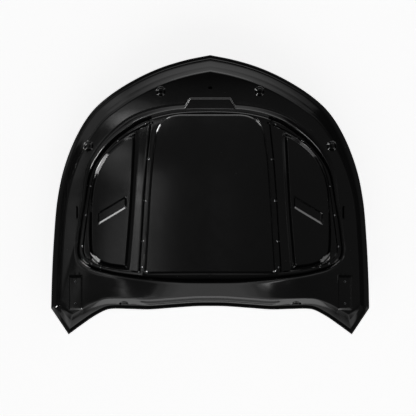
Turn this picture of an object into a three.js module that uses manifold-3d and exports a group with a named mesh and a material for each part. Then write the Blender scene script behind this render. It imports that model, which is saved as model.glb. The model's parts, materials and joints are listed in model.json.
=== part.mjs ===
// A pressed steel car bonnet, lying on its outer skin with the underside facing up.
// X runs across the bonnet, Y from the rear edge to the nose, Z up towards the underside.
// The origin is in the middle of the bonnet, on the surface that it lies on.
import * as THREE from 'three';
import { mergeVertices } from 'three/addons/utils/BufferGeometryUtils.js';
import Module from 'manifold-3d';

const wasm = await Module();
wasm.setup();

// Overall size of the bonnet, in millimetres.
const WIDTH = 1462;
const LENGTH = 1285;

// Sheet thicknesses, and the gap left between two sheets that lie on each other.
const SKIN_T = 1.2;
const FRAME_T = 1.2;
const SIDE_PANEL_T = 1.2;
const REINFORCEMENT_T = 3;
const FIT_GAP = 0.35;
const HEM_GAP = 0.9;
const PANEL_GAP = 0.7;

// Crown of the outer skin: how far it rises from the middle to each edge.
const SIDE_RISE = 62;
const NOSE_RISE = 80;
const REAR_RISE = 14;
const CROWN_POWER = 2.6;

// Heights above the outer skin's crown.
const EDGE_DEPTH = 48;
const REAR_EDGE_DEPTH = 19;
const LAND_HEIGHT = 34;
const COWL_RIDGE = 12;
const PAN_HEIGHT = 9;
const HAT_HEIGHT = 24;

// Widths of the folds and walls, measured in plan.
const HEM_WIDTH = 17;
const SHOULDER_WIDTH = 46;
const NOSE_CHAMFER = 55;
const SIDE_CHAMFER = 25;
const CORNER_CHAMFER = 52;
const REAR_CHAMFER = 31;
const COWL_RECESS_WIDTH = 640;
const COWL_RECESS_SLANT = 60;
const COWL_RECESS_WALL = 6;
const NOSE_WALL = 24;
const SHOULDER_WALL = 38;
const SIDE_WALL = 7;
const REAR_WALL = 14;
const SIDE_PANEL_FLANGE = 10;
const HAT_WALL = 6;
const STRAP_SHOW = 17;
const POCKET_WALL = 22;
const POCKET_FOOT = 7;
const SEAT_CLEARANCE = 3;
const FLANGE_CLEARANCE = 8;

// Pressed details.
const LATCH_TOP_WIDTH = 189;
const LATCH_BOTTOM_WIDTH = 242;
const LATCH_LENGTH = 44;
const LATCH_DEPTH = 6;
const LATCH_CORNER = 14;
const VENT_WIDTH = 130;
const VENT_LENGTH = 55;
const VENT_SLANT = 78;
const VENT_DEPTH = 6;
const VENT_WALL = 2;
const BUFFER_RADIUS = 23;
const BUFFER_DEPTH = 9;
const BUFFER_HOLE_RADIUS = 6;
const TOOLING_HOLE_RADIUS = 4;
const SLOT_WIDTH = 13;
const SLOT_LENGTH = 58;
const JET_NOTCH_RADIUS = 19;

// Hinge seat, with its bolts.
const HINGE_SEAT_WIDTH = 56;
const HINGE_SEAT_LENGTH = 150;
const HINGE_SEAT_RAISE = 2;
const HINGE_BOLT_SPACING = 100;
const BOLT_HOLE_RADIUS = 5.5;
const NUT_ACROSS_FLATS = 15;
const NUT_HEIGHT = 7;
const NUT_BORE_RADIUS = 3.4;
const STRIKER_BOLT_SPACING = 62;
const STRIKER_PLATE_MARGIN = 14;
const STRIKER_PLATE_END_MARGIN = 6;
const HINGE_PLATE_MARGIN = 6;
const PLATE_GAP = 0.8;
const NUT_GAP = 1.15;
const HINGE_SEAT_CORNER = 12;

// Rivets that hold the side panels on the frame.
const RIVET_HEAD_RADIUS = 3.4;
const RIVET_HEAD_HEIGHT = 1.8;
const RIVET_SHANK_RADIUS = 1.4;
const RIVET_HOLE_RADIUS = 2.4;
const RIVET_TAIL = 2;

// Outlines of the right half, from the nose to the middle of the rear edge, in stretches between
// matching places. A point is a share of half the width and a share of the length.
const EDGE = [
  [[0, 0.5], [0.15, 0.483], [0.313, 0.455], [0.478, 0.412], [0.6375, 0.3545]],
  [[0.6375, 0.3545], [0.747, 0.297], [0.842, 0.211], [0.92, 0.0967], [0.962, -0.018]],
  [[0.962, -0.018], [0.984, -0.161], [0.996, -0.304], [1, -0.4046]],
  [[1, -0.4046], [0.892, -0.5]],
  [[0.892, -0.5], [0.807, -0.4647], [0.731, -0.435], [0.656, -0.413], [0.618, -0.409]],
  [[0.618, -0.409], [0.503, -0.41], [0.39, -0.4117], [0.239, -0.406], [0.09, -0.4003], [0, -0.3996]],
];
const EDGE_RUNS = [3, 1, 2];
const RECESS = [
  [[0, 0.3194], [0.148, 0.3194], [0.24, 0.3158], [0.349, 0.3043], [0.445, 0.2864], [0.513, 0.2667]],
  [[0.513, 0.2667], [0.636, 0.2087], [0.724, 0.1439], [0.772, 0.0823], [0.798, -0.0286]],
  [[0.798, -0.0286], [0.817, -0.092], [0.831, -0.154], [0.838, -0.1933]],
  [[0.838, -0.1933], [0.829, -0.222], [0.802, -0.2417]],
  [[0.802, -0.2417], [0.7426, -0.2642], [0.661, -0.2778], [0.5815, -0.2875]],
  [[0.5815, -0.2875], [0.445, -0.2986], [0.308, -0.3065], [0.172, -0.3115], [0, -0.3126]],
];
const RECESS_RUNS = [6];
const STRETCH_STEPS = [9, 8, 6, 4, 5, 6];

// The strap's edge beside the middle window, from front to rear, and the pocket's outline.
const STRAP_LINE = [[0.335, 0.254], [0.356, 0.147], [0.377, 0], [0.39, -0.125], [0.405, -0.256]];
const POCKET = [
  [[0.475, 0.22], [0.529, 0.204], [0.5815, 0.184]],
  [[0.5815, 0.184], [0.649, 0.1486], [0.69, 0.1117], [0.714, 0.0752]],
  [[0.714, 0.0752], [0.736, 0.025], [0.745, -0.0286], [0.745, -0.1826]],
  [[0.745, -0.1826], [0.736, -0.215], [0.711, -0.2345]],
  [[0.711, -0.2345], [0.6545, -0.25], [0.53, -0.2614]],
  [[0.53, -0.2614], [0.506, -0.092], [0.49, 0.0537], [0.475, 0.22]],
];
const POCKET_RUNS = [5, 1];
const POCKET_STEPS = [4, 5, 6, 4, 5, 8];
const WINDOW_FRONT = 0.2853;
const WINDOW_REAR = -0.2765;
const WINDOW_CORNER_RADIUS = 118;
const WINDOW_REAR_RADIUS = 18;

// Places of single details, in the same shares.
const BUFFER_PLACES = [[0.311, 0.3716], [0.766, 0.1755]];
const LATCH_FRONT = 0.3491;
const TOOLING_HOLE_Y = 0.383;
const VENT_INNER_FRONT = [0.531, -0.0036];
const SLOT_PLACE = [0.842, -0.062];
const HINGE_PLACE = [0.848, -0.35];
const JET_NOTCH_PLACE = [0.568, -0.397];

const HALF = WIDTH / 2;
const UPRIGHT = new THREE.Vector3(0, 0, 1);
const place = ([x, y]) => new THREE.Vector2(x * HALF, y * LENGTH);

// Height of the outer skin's outside face above the ground.
function crown(x, y) {
  const rise = y > 0 ? NOSE_RISE : REAR_RISE;
  const side = SIDE_RISE * Math.pow(Math.abs(x) / HALF, CROWN_POWER);
  return side + rise * Math.pow(Math.abs(y) / (LENGTH / 2), CROWN_POWER);
}

// The surface's upward direction at a place, for anything that sits square on it.
function crownNormal(x, y) {
  const step = 1;
  const dx = (crown(x + step, y) - crown(x - step, y)) / (2 * step);
  const dy = (crown(x, y + step) - crown(x, y - step)) / (2 * step);
  return new THREE.Vector3(-dx, -dy, 1).normalize();
}

// Points along the right half of an outline, spaced evenly within each stretch. A run of stretches
// is one flowing curve, and two runs meet in a corner.
function halfOutline(stretches, runs, steps) {
  const points = [];
  let first = 0;
  for (const count of runs) {
    const run = stretches.slice(first, first + count);
    const knots = run.flatMap((stretch, i) => (i ? stretch.slice(1) : stretch)).map(place);
    const curve = new THREE.CatmullRomCurve3(
      knots.map((p) => new THREE.Vector3(p.x, p.y, 0)),
      false,
      'centripetal',
    );
    const spans = 50;
    curve.arcLengthDivisions = spans * (knots.length - 1);
    const lengths = curve.getLengths();
    const shareAt = (knot) => lengths[knot * spans] / lengths[lengths.length - 1];
    let knot = 0;
    run.forEach((stretch, i) => {
      const start = shareAt(knot);
      knot += stretch.length - 1;
      const stop = shareAt(knot);
      const stepCount = steps[first + i];
      for (let k = points.length ? 1 : 0; k <= stepCount; k++) {
        const p = curve.getPointAt(THREE.MathUtils.lerp(start, stop, k / stepCount));
        points.push(new THREE.Vector2(p.x, p.y));
      }
    });
    first += count;
  }
  return points;
}

// A number that changes from station to station along the half outline.
function alongStations(values, steps) {
  const out = [values[0]];
  steps.forEach((count, i) => {
    for (let k = 1; k <= count; k++) {
      out.push(THREE.MathUtils.lerp(values[i], values[i + 1], k / count));
    }
  });
  return out;
}

// Completes a right half from nose to rear with its mirror image: one closed outline.
function bothHalves(half, mirror) {
  const left = half.slice(1, -1).reverse();
  return half.concat(left.map(mirror));
}
const mirrorPoint = (p) => new THREE.Vector2(-p.x, p.y);
const same = (v) => v;
const sum = (a, b) => a + b;

// Moves each point of a closed outline inwards, by its own distance. Where corners are named, the
// points between two of them are spread evenly, so that a sharp corner doesn't fold the outline.
function inset(outline, distances, corners = []) {
  const n = outline.length;
  const turn = Math.sign(THREE.ShapeUtils.area(outline));
  const moves = outline.map((p, i) => {
    const into = p.clone().sub(outline[(i + n - 1) % n]).normalize();
    const outOf = outline[(i + 1) % n].clone().sub(p).normalize();
    const inward = new THREE.Vector2(-into.y - outOf.y, into.x + outOf.x)
      .multiplyScalar(turn)
      .normalize();
    const mitre = Math.max(0.6, turn * (into.x * inward.y - into.y * inward.x));
    const distance = Array.isArray(distances) ? distances[i] : distances;
    return { into, outOf, move: inward.multiplyScalar(distance / mitre) };
  });
  const moved = moves.map(({ move }, i) => outline[i].clone().add(move));
  corners.forEach((start, k) => {
    const end = corners[(k + 1) % corners.length] + (k + 1 === corners.length ? n : 0);
    const slideStart = moves[start].move.dot(moves[start].outOf);
    const slideEnd = moves[end % n].move.dot(moves[end % n].into);
    for (let i = start + 1; i < end; i++) {
      const slide = THREE.MathUtils.lerp(slideStart, slideEnd, (i - start) / (end - start));
      const along = moves[i % n].into.clone().add(moves[i % n].outOf).normalize();
      moved[i % n].addScaledVector(along, slide);
    }
  });
  return moved;
}

const lift = (outline, height) => outline.map((p, i) => {
  const h = typeof height === 'function' ? height(p.x, p.y, i) : height;
  return new THREE.Vector3(p.x, p.y, crown(p.x, p.y) + h);
});

// A skin of stacked outlines, as vertices and triangles. A last outline of one point closes it.
function stackedFaces(rings) {
  const n = rings[0].length;
  const points = rings.flat();
  const faces = [];
  for (let r = 0; r + 1 < rings.length; r++) {
    const closing = rings[r + 1].length === 1;
    for (let i = 0; i < n; i++) {
      const a = r * n + i;
      const b = r * n + (i + 1) % n;
      if (closing) {
        faces.push([a, b, (r + 1) * n]);
      } else {
        faces.push([a, b, b + n], [a, b + n, a + n]);
      }
    }
  }
  return { points, faces };
}

// The average direction of the faces round each vertex.
function vertexNormals({ points, faces }) {
  const normals = points.map(() => new THREE.Vector3());
  const u = new THREE.Vector3();
  const v = new THREE.Vector3();
  faces.forEach(([a, b, c]) => {
    u.subVectors(points[b], points[a]);
    v.subVectors(points[c], points[a]);
    const n = new THREE.Vector3().crossVectors(u, v).normalize();
    [a, b, c].forEach((k) => normals[k].add(n));
  });
  return normals.map((n) => n.normalize());
}

// Looks up the faceted face of stacked outlines: its height and its upward direction at a place.
function surfaceOf(rings) {
  const { points, faces } = stackedFaces(rings);
  const triangles = faces.map((face) => new THREE.Triangle(...face.map((k) => points[k])));
  const flat = triangles.map((t) => [t.a, t.b, t.c].map((p) => new THREE.Vector3(p.x, p.y, 0)));
  const flats = flat.map((corners) => new THREE.Triangle(...corners));
  return (x, y) => {
    const at = new THREE.Vector3(x, y, 0);
    const hit = flats.findIndex((t) => t.getArea() > 1e-3 && t.containsPoint(at));
    const weights = flats[hit].getBarycoord(at, new THREE.Vector3());
    const { a, b, c } = triangles[hit];
    const normal = triangles[hit].getNormal(new THREE.Vector3());
    if (normal.z < 0) normal.negate();
    return { z: a.z * weights.x + b.z * weights.y + c.z * weights.z, normal };
  };
}

// Closes two like skins into one solid, with a wall round each open edge.
function solidBetween(rings, nearPoints, farPoints) {
  const { faces } = stackedFaces(rings);
  const n = rings[0].length;
  const count = nearPoints.length;
  const all = faces.map(([a, b, c]) => [a, b, c]);
  faces.forEach(([a, b, c]) => all.push([a + count, c + count, b + count]));
  const wall = (start, flip) => {
    for (let i = 0; i < n; i++) {
      const a = start + i;
      const b = start + (i + 1) % n;
      const quad = flip
        ? [[a, b, b + count], [a, b + count, a + count]]
        : [[a, b + count, b], [a, a + count, b + count]];
      all.push(...quad);
    }
  };
  wall(0, false);
  if (rings[rings.length - 1].length > 1) wall((rings.length - 1) * n, true);
  const coordinates = nearPoints.concat(farPoints).flatMap((p) => [p.x, p.y, p.z]);
  const geometry = new THREE.BufferGeometry();
  geometry.setAttribute('position', new THREE.Float32BufferAttribute(coordinates, 3));
  geometry.setIndex(all.flat());
  return toSolid(geometry);
}

// Sheet metal of an even thickness, on the side of the outlines that its sign gives.
function sheetMetal(rings, thickness) {
  const skin = stackedFaces(rings);
  const normals = vertexNormals(skin);
  const far = skin.points.map((p, i) => p.clone().addScaledVector(normals[i], thickness));
  return solidBetween(rings, skin.points, far);
}

// A layer between two heights below the same stacked outlines.
function layerBelow(rings, top, bottom) {
  const { points } = stackedFaces(rings);
  const drop = (by) => points.map((p) => new THREE.Vector3(p.x, p.y, p.z - by));
  return solidBetween(rings, drop(top), drop(bottom));
}

// A closed geometry as a manifold solid, and back.
function toSolid(geometry) {
  const bare = geometry.clone();
  bare.deleteAttribute('normal');
  bare.deleteAttribute('uv');
  const merged = mergeVertices(bare, 1e-4);
  const solidMesh = {
    numProp: 3,
    vertProperties: merged.attributes.position.array,
    triVerts: new Uint32Array(merged.index.array),
  };
  let solid = new wasm.Manifold(new wasm.Mesh(solidMesh));
  if (solid.volume() < 0) {
    const turned = solidMesh.triVerts;
    for (let i = 0; i < turned.length; i += 3) {
      [turned[i + 1], turned[i + 2]] = [turned[i + 2], turned[i + 1]];
    }
    solid = new wasm.Manifold(new wasm.Mesh(solidMesh));
  }
  return solid;
}
function toGeometry(solid) {
  const mesh = solid.getMesh();
  const geometry = new THREE.BufferGeometry();
  geometry.setAttribute('position', new THREE.BufferAttribute(mesh.vertProperties, 3));
  geometry.setIndex(new THREE.BufferAttribute(mesh.triVerts, 1));
  geometry.computeVertexNormals();
  return geometry;
}

// An upright prism through the whole bonnet, for cutting a plan shape.
const TALL = 400;
const BELOW = 20;
function prism(points) {
  const geometry = new THREE.ExtrudeGeometry(new THREE.Shape(points), {
    depth: TALL,
    bevelEnabled: false,
  });
  geometry.translate(0, 0, -TALL / 4);
  return toSolid(geometry);
}

// A geometry made about its own Z axis, set square on the crown at a height above it.
function seated(geometry, x, y, height) {
  const turn = new THREE.Quaternion().setFromUnitVectors(UPRIGHT, crownNormal(x, y));
  geometry.applyQuaternion(turn);
  geometry.translate(x, y, crown(x, y) + height);
  return geometry;
}
function circle(x, y, radius, sides) {
  const points = [];
  for (let i = 0; i < sides; i++) {
    const angle = (i / sides) * Math.PI * 2;
    points.push(new THREE.Vector2(x + radius * Math.cos(angle), y + radius * Math.sin(angle)));
  }
  return points;
}
const mirrored = (points, side) => points.map((p) => new THREE.Vector2(p.x * side, p.y));

// The plan outlines that every piece shares.
const edge = bothHalves(halfOutline(EDGE, EDGE_RUNS, STRETCH_STEPS), mirrorPoint);
const recess = bothHalves(halfOutline(RECESS, RECESS_RUNS, STRETCH_STEPS), mirrorPoint);
const round = (values) => bothHalves(alongStations(values, STRETCH_STEPS), same);
const cornerCounts = STRETCH_STEPS.map((c, i) => STRETCH_STEPS.slice(0, i + 1).reduce(sum));
const rightCorners = [0, ...cornerCounts];
const edgeCorners = rightCorners.concat(
  rightCorners.slice(1, -1).reverse().map((corner) => edge.length - corner),
);
const insetEdge = (distance) => inset(edge, distance, edgeCorners);
const CHAMFERS = [NOSE_CHAMFER, NOSE_CHAMFER, SIDE_CHAMFER, SIDE_CHAMFER, CORNER_CHAMFER,
  REAR_CHAMFER, REAR_CHAMFER];
const STEP_SHARES = [0.5, 0.5, 0.5, 0.5, 0.5, 0.6, 0.6];
const STEP_RISES = [0.5, 0.5, 0.5, 0.5, 0.5, 0.2, 0.2];
const WALLS = [NOSE_WALL, SHOULDER_WALL, SIDE_WALL, SIDE_WALL, SIDE_WALL, SIDE_WALL, REAR_WALL];
const edgeDepths = round([EDGE_DEPTH, EDGE_DEPTH, EDGE_DEPTH, EDGE_DEPTH, REAR_EDGE_DEPTH,
  REAR_EDGE_DEPTH, REAR_EDGE_DEPTH]);
const ridges = round([0, 0, 0, 0, 0, COWL_RIDGE / 2, COWL_RIDGE]);
const depthAt = (share, less) => (x, y, i) => edgeDepths[i] * share - less;
const landOuter = insetEdge(round(CHAMFERS).map((w) => w + HEM_WIDTH));
const recessFoot = inset(recess, round(WALLS));

// The outer skin's outside face, from the return flange's edge round the rim to the middle.
function skinRings() {
  const shoulder = insetEdge(SHOULDER_WIDTH);
  const shrunk = (share) => shoulder.map((p) => p.clone().multiplyScalar(share));
  const rim = (distance, share) => lift(insetEdge(distance), depthAt(share, 0));
  return [
    rim(HEM_WIDTH, 1),
    rim(2, 1),
    rim(0, 0.92),
    rim(HEM_WIDTH / 4, 0.55),
    rim(HEM_WIDTH, 0.18),
    lift(shoulder, 0),
    lift(shrunk(0.84), 0),
    lift(shrunk(0.6), 0),
    lift(shrunk(0.3), 0),
    [new THREE.Vector3(0, 0, 0)],
  ];
}

// How far into the shallow recess along the middle of the rear edge a place lies, from 0 to 1.
function inCowl(p) {
  const fromEnd = COWL_RECESS_WIDTH / 2 + COWL_RECESS_SLANT - Math.abs(p.x);
  return p.y > 0 ? 0 : THREE.MathUtils.clamp(fromEnd / COWL_RECESS_SLANT, 0, 1);
}

// The inner frame's upper face, from its flange under the hem to the middle of the pan.
function frameRings() {
  const flange = SKIN_T + HEM_GAP;
  const landMiddle = landOuter.map((p, i) => p.clone().lerp(recess[i], 0.5));
  const land = (x, y, i) => LAND_HEIGHT + ridges[i] / 2;
  const flangeLine = insetEdge(HEM_WIDTH + 2);
  const stepShares = round(STEP_SHARES);
  const stepRises = round(STEP_RISES);
  const stepLine = flangeLine.map((p, i) => {
    const wide = p.distanceTo(landOuter[i]);
    const share = THREE.MathUtils.lerp(stepShares[i], 1 - COWL_RECESS_WALL / wide, inCowl(p));
    return p.clone().lerp(landOuter[i], share);
  });
  const stepLift = (x, y, i) => {
    const rise = THREE.MathUtils.lerp(stepRises[i], 0, inCowl(flangeLine[i]));
    return THREE.MathUtils.lerp(edgeDepths[i] - flange, LAND_HEIGHT, rise);
  };
  const shrunk = (share) => recessFoot.map((p) => p.clone().multiplyScalar(share));
  return [
    lift(insetEdge(FLANGE_CLEARANCE), depthAt(1, flange)),
    lift(flangeLine, depthAt(1, flange)),
    lift(stepLine, stepLift),
    lift(landOuter, () => LAND_HEIGHT),
    lift(landMiddle, land),
    lift(recess, (x, y, i) => LAND_HEIGHT + ridges[i]),
    lift(recessFoot, () => PAN_HEIGHT),
    lift(shrunk(0.75), () => PAN_HEIGHT),
    lift(shrunk(0.5), () => PAN_HEIGHT),
    [new THREE.Vector3(0, 0, PAN_HEIGHT)],
  ];
}

// The middle window: straight front, large front corners, sides that spread to the rear.
function middleWindow() {
  const side = STRAP_LINE.map(place);
  const front = WINDOW_FRONT * LENGTH;
  const rear = WINDOW_REAR * LENGTH;
  const shape = new THREE.Shape();
  const topX = side[0].x;
  shape.moveTo(0, front);
  shape.lineTo(topX - WINDOW_CORNER_RADIUS, front);
  shape.quadraticCurveTo(topX, front, side[0].x + 6, front - WINDOW_CORNER_RADIUS);
  shape.splineThru(side.slice(1, 4).concat([new THREE.Vector2(side[4].x, rear + WINDOW_REAR_RADIUS)]));
  shape.quadraticCurveTo(side[4].x + 1, rear, side[4].x - WINDOW_REAR_RADIUS, rear);
  shape.lineTo(0, rear);
  const half = shape.getPoints(5).filter((p, i, all) => !i || p.distanceTo(all[i - 1]) > 0.5);
  return half.concat(half.slice(1, -1).reverse().map(mirrorPoint));
}

// A side panel's outer edge, matched point by point to the pocket that it surrounds.
function sidePanelEdge() {
  const seat = inset(recessFoot, SEAT_CLEARANCE * 2);
  const half = seat.slice(0, STRETCH_STEPS.reduce(sum) + 1);
  const strap = new THREE.CatmullRomCurve3(
    STRAP_LINE.map(place).map((p) => new THREE.Vector3(p.x + STRAP_SHOW, p.y, 0)),
    false,
    'centripetal',
  );
  const frontX = strap.getPoint(0).x;
  const rearX = strap.getPoint(1).x;
  const run = half.filter((p) => (p.y > 0 ? p.x > frontX : p.x > rearX));
  const crossing = (a, b, x) => a.clone().lerp(b, (x - a.x) / (b.x - a.x));
  const first = half.indexOf(run[0]);
  const last = half.indexOf(run[run.length - 1]);
  const corners = [
    crossing(half[first - 1], half[first], frontX),
    crossing(half[last], half[last + 1], rearX),
  ];
  const outer = new THREE.CatmullRomCurve3(
    [corners[0], ...run, corners[1]].map((p) => new THREE.Vector3(p.x, p.y, 0)),
    false,
    'centripetal',
  );
  const steps = POCKET_STEPS.slice(0, -1).reduce(sum);
  const pocket = pocketOutline();
  const shares = pocketShares(pocket, steps);
  const outerRun = shares.map((share) => outer.getPointAt(Math.min(1, share)));
  const strapSteps = POCKET_STEPS[POCKET_STEPS.length - 1];
  const front = outerRun[0];
  const rear = outerRun[outerRun.length - 1];
  const strapRun = [];
  for (let i = 1; i < strapSteps; i++) {
    const y = THREE.MathUtils.lerp(rear.y, front.y, i / strapSteps);
    strapRun.push(new THREE.Vector3(strapX(y) + STRAP_SHOW, y, 0));
  }
  return outerRun.concat(strapRun).map((p) => new THREE.Vector2(p.x, p.y));
}

// Lines between the side panel's edge and the pocket: a width from either one, or at most a share
// of the room between them.
function room(p, outline) {
  const at = new THREE.Vector3(p.x, p.y, 0);
  const distances = outline.map((a, i) => {
    const b = outline[(i + 1) % outline.length];
    const segment = new THREE.Line3(new THREE.Vector3(a.x, a.y, 0), new THREE.Vector3(b.x, b.y, 0));
    return segment.closestPointToPoint(at, true, new THREE.Vector3()).distanceTo(at);
  });
  return Math.min(...distances);
}
function widthsWithin(from, to, width, most) {
  return from.map((p) => Math.min(width, most * room(p, to)));
}
function towardsPocket(width, most) {
  return inset(sideEdge, widthsWithin(sideEdge, pocketOutline(), width, most));
}
function fromPocket(width, most) {
  const pocket = pocketOutline();
  return inset(pocket, widthsWithin(pocket, sideEdge, width, most).map((w) => -w));
}

// Where the strap's edge lies across the bonnet at a place along it.
function strapX(y) {
  const points = STRAP_LINE.map(place);
  const i = Math.max(1, points.findIndex((p, k) => k > 0 && p.y <= y));
  const a = points[i - 1];
  const b = points[i];
  return THREE.MathUtils.lerp(a.x, b.x, (y - a.y) / (b.y - a.y));
}

function pocketOutline() {
  return halfOutline(POCKET, POCKET_RUNS, POCKET_STEPS).slice(0, -1);
}

// How far along its outer run each of the pocket's points lies, from 0 to 1.
function pocketShares(pocket, steps) {
  const lengths = [0];
  for (let i = 1; i <= steps; i++) {
    lengths.push(lengths[i - 1] + pocket[i].distanceTo(pocket[i - 1]));
  }
  return lengths.map((l) => l / lengths[steps]);
}

const sideEdge = sidePanelEdge();
const windowOutline = middleWindow();
const skinFace = surfaceOf(skinRings().slice(5));
const frameFace = surfaceOf(frameRings().slice(5));
const flangeFace = (x, y) => surfaceOf(sidePanelRings().slice(0, 2))(x, y);
const on = (face, outline, height) => outline.map((p) => {
  const { z, normal } = face(p.x, p.y);
  return new THREE.Vector3(p.x, p.y, z + height / normal.z);
});

function outerSkin() {
  const rings = skinRings();
  let skin = sheetMetal(rings, SKIN_T * skinSide(rings));
  const pan = rings.slice(5);
  const block = layerBelow(pan, -SKIN_T - VENT_DEPTH, -SKIN_T / 2);
  const hollow = layerBelow(pan, -VENT_DEPTH, BELOW);
  for (const side of [1, -1]) {
    const outline = mirrored(ventOutline(), side);
    skin = skin.add(block.intersect(prism(outline)));
    skin = skin.subtract(hollow.intersect(prism(inset(outline, VENT_WALL))));
  }
  return toGeometry(skin);
}

// The sheet's thickness goes to the inside of the bent outline, whichever way its faces turn.
function skinSide(rings) {
  const normals = vertexNormals(stackedFaces(rings));
  return normals[normals.length - 1].z > 0 ? 1 : -1;
}

function ventOutline() {
  const corner = place(VENT_INNER_FRONT);
  return [
    corner,
    new THREE.Vector2(corner.x, corner.y - VENT_LENGTH),
    new THREE.Vector2(corner.x + VENT_WIDTH, corner.y - VENT_LENGTH - VENT_SLANT),
    new THREE.Vector2(corner.x + VENT_WIDTH, corner.y - VENT_SLANT),
  ];
}

// The striker's recess at the front of the frame: wider towards the middle window, where it runs
// out into the wall. It is square on the crown, so that its floor is flat.
function latchShape(grow, runOut) {
  const front = LATCH_LENGTH / 2 + grow;
  const rear = -LATCH_LENGTH / 2 - runOut;
  const top = LATCH_TOP_WIDTH / 2 + grow;
  const bottom = LATCH_BOTTOM_WIDTH / 2 + grow;
  const shape = new THREE.Shape();
  shape.moveTo(-bottom, rear);
  shape.lineTo(bottom, rear);
  shape.lineTo(top + LATCH_CORNER / 2, front - LATCH_CORNER);
  shape.quadraticCurveTo(top, front, top - LATCH_CORNER, front);
  shape.lineTo(LATCH_CORNER - top, front);
  shape.quadraticCurveTo(-top, front, -top - LATCH_CORNER / 2, front - LATCH_CORNER);
  return shape;
}
function latchBlock(shape, top, bottom) {
  const depth = top - bottom;
  const block = new THREE.ExtrudeGeometry(shape, { depth, bevelEnabled: false, curveSegments: 3 });
  block.translate(0, 0, bottom);
  return toSolid(seated(block, 0, latchMiddleY(), LAND_HEIGHT));
}
const latchMiddleY = () => LATCH_FRONT * LENGTH - LATCH_LENGTH / 2;

// A turned solid about its own upright axis, seated on the land.
function turned(profile, x, y) {
  const points = profile.map(([r, z]) => new THREE.Vector2(r, z));
  const lathe = new THREE.LatheGeometry(points, 14).rotateX(Math.PI / 2);
  return toSolid(seated(lathe, x, y, LAND_HEIGHT));
}

// The raised flat that the hinge bolts to.
function hingeSeat(side) {
  const [w, l] = [HINGE_SEAT_WIDTH / 2, HINGE_SEAT_LENGTH / 2];
  const corner = HINGE_SEAT_CORNER;
  const shape = new THREE.Shape();
  shape.moveTo(-w + corner, -l);
  shape.lineTo(w - corner, -l);
  shape.quadraticCurveTo(w, -l, w, -l + corner);
  shape.lineTo(w, l - corner);
  shape.quadraticCurveTo(w, l, w - corner, l);
  shape.lineTo(-w + corner, l);
  shape.quadraticCurveTo(-w, l, -w, l - corner);
  shape.lineTo(-w, -l + corner);
  shape.quadraticCurveTo(-w, -l, -w + corner, -l);
  const depth = HINGE_SEAT_RAISE + FRAME_T * 0.6;
  const pad = new THREE.ExtrudeGeometry(shape, { depth, bevelEnabled: false, curveSegments: 3 });
  pad.translate(0, 0, -FRAME_T * 0.6);
  const p = place(HINGE_PLACE);
  return toSolid(seated(pad, p.x * side, p.y, LAND_HEIGHT));
}
function hingeBolts(side) {
  const p = place(HINGE_PLACE);
  return [1, -1].map((end) => new THREE.Vector2(p.x * side, p.y + (end * HINGE_BOLT_SPACING) / 2));
}

function innerFrame() {
  const rings = frameRings();
  const up = vertexNormals(stackedFaces(rings)).pop().z > 0 ? -1 : 1;
  let frame = sheetMetal(rings, FRAME_T * up);

  // The three windows that the outer skin shows through.
  frame = frame.subtract(prism(windowOutline));
  const ledge = towardsPocket(SIDE_PANEL_FLANGE + SEAT_CLEARANCE, 0.46);
  for (const side of [1, -1]) frame = frame.subtract(prism(mirrored(ledge, side)));

  // The striker's recess: a tub below the land, hollowed from above.
  const tub = latchBlock(latchShape(FRAME_T, 0), -FRAME_T / 4, -LATCH_DEPTH - FRAME_T);
  const hollow = latchBlock(latchShape(0, NOSE_WALL / 2), LAND_HEIGHT, -LATCH_DEPTH);
  frame = frame.add(tub).subtract(hollow);

  for (const side of [1, -1]) {
    for (const share of BUFFER_PLACES) {
      const p = place(share);
      const floor = BUFFER_RADIUS * 0.45;
      const bottom = -BUFFER_DEPTH - FRAME_T;
      const sunk = -FRAME_T / 2;
      const cup = [[0, bottom], [floor + 1, bottom], [BUFFER_RADIUS, sunk], [0, sunk]];
      const bowl = [[0, -BUFFER_DEPTH], [floor, -BUFFER_DEPTH], [BUFFER_RADIUS * 1.25, 6], [0, 6]];
      frame = frame.add(turned(cup, p.x * side, p.y)).subtract(turned(bowl, p.x * side, p.y));
      frame = frame.subtract(prism(circle(p.x * side, p.y, BUFFER_HOLE_RADIUS, 8)));
    }
    frame = frame.add(hingeSeat(side));
    for (const p of hingeBolts(side)) {
      frame = frame.subtract(prism(circle(p.x, p.y, BOLT_HOLE_RADIUS, 8)));
    }
    frame = frame.subtract(prism(mirrored(slotOutline(), side)));
    frame = frame.subtract(prism(mirrored(jetNotch(), side)));
    for (const p of rivetPlaces(side)) {
      frame = frame.subtract(prism(circle(p.x, p.y, RIVET_HOLE_RADIUS, 5)));
    }
  }
  frame = frame.subtract(prism(circle(0, TOOLING_HOLE_Y * LENGTH, TOOLING_HOLE_RADIUS, 10)));
  for (const end of [1, -1]) {
    const x = (end * STRIKER_BOLT_SPACING) / 2;
    frame = frame.subtract(prism(circle(x, latchMiddleY(), BOLT_HOLE_RADIUS, 10)));
  }
  return toGeometry(frame);
}

// A slot with round ends beside the recess, for the insulation's clip.
function slotOutline() {
  const c = place(SLOT_PLACE);
  const r = SLOT_WIDTH / 2;
  const straight = SLOT_LENGTH / 2 - r;
  const points = [];
  for (let i = 0; i <= 6; i++) {
    const a = (i / 6) * Math.PI;
    points.push(new THREE.Vector2(c.x + r * Math.cos(a), c.y + straight + r * Math.sin(a)));
  }
  for (let i = 0; i <= 6; i++) {
    const a = Math.PI + (i / 6) * Math.PI;
    points.push(new THREE.Vector2(c.x + r * Math.cos(a), c.y - straight + r * Math.sin(a)));
  }
  return points;
}

// The half-round notch in the rear wall, where the washer jet's hose comes through.
function jetNotch() {
  const c = place(JET_NOTCH_PLACE);
  const points = [];
  for (let i = 0; i <= 8; i++) {
    const a = (i / 8) * Math.PI;
    const x = c.x + JET_NOTCH_RADIUS * Math.cos(a);
    points.push(new THREE.Vector2(x, c.y + JET_NOTCH_RADIUS * Math.sin(a)));
  }
  return points;
}

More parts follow.
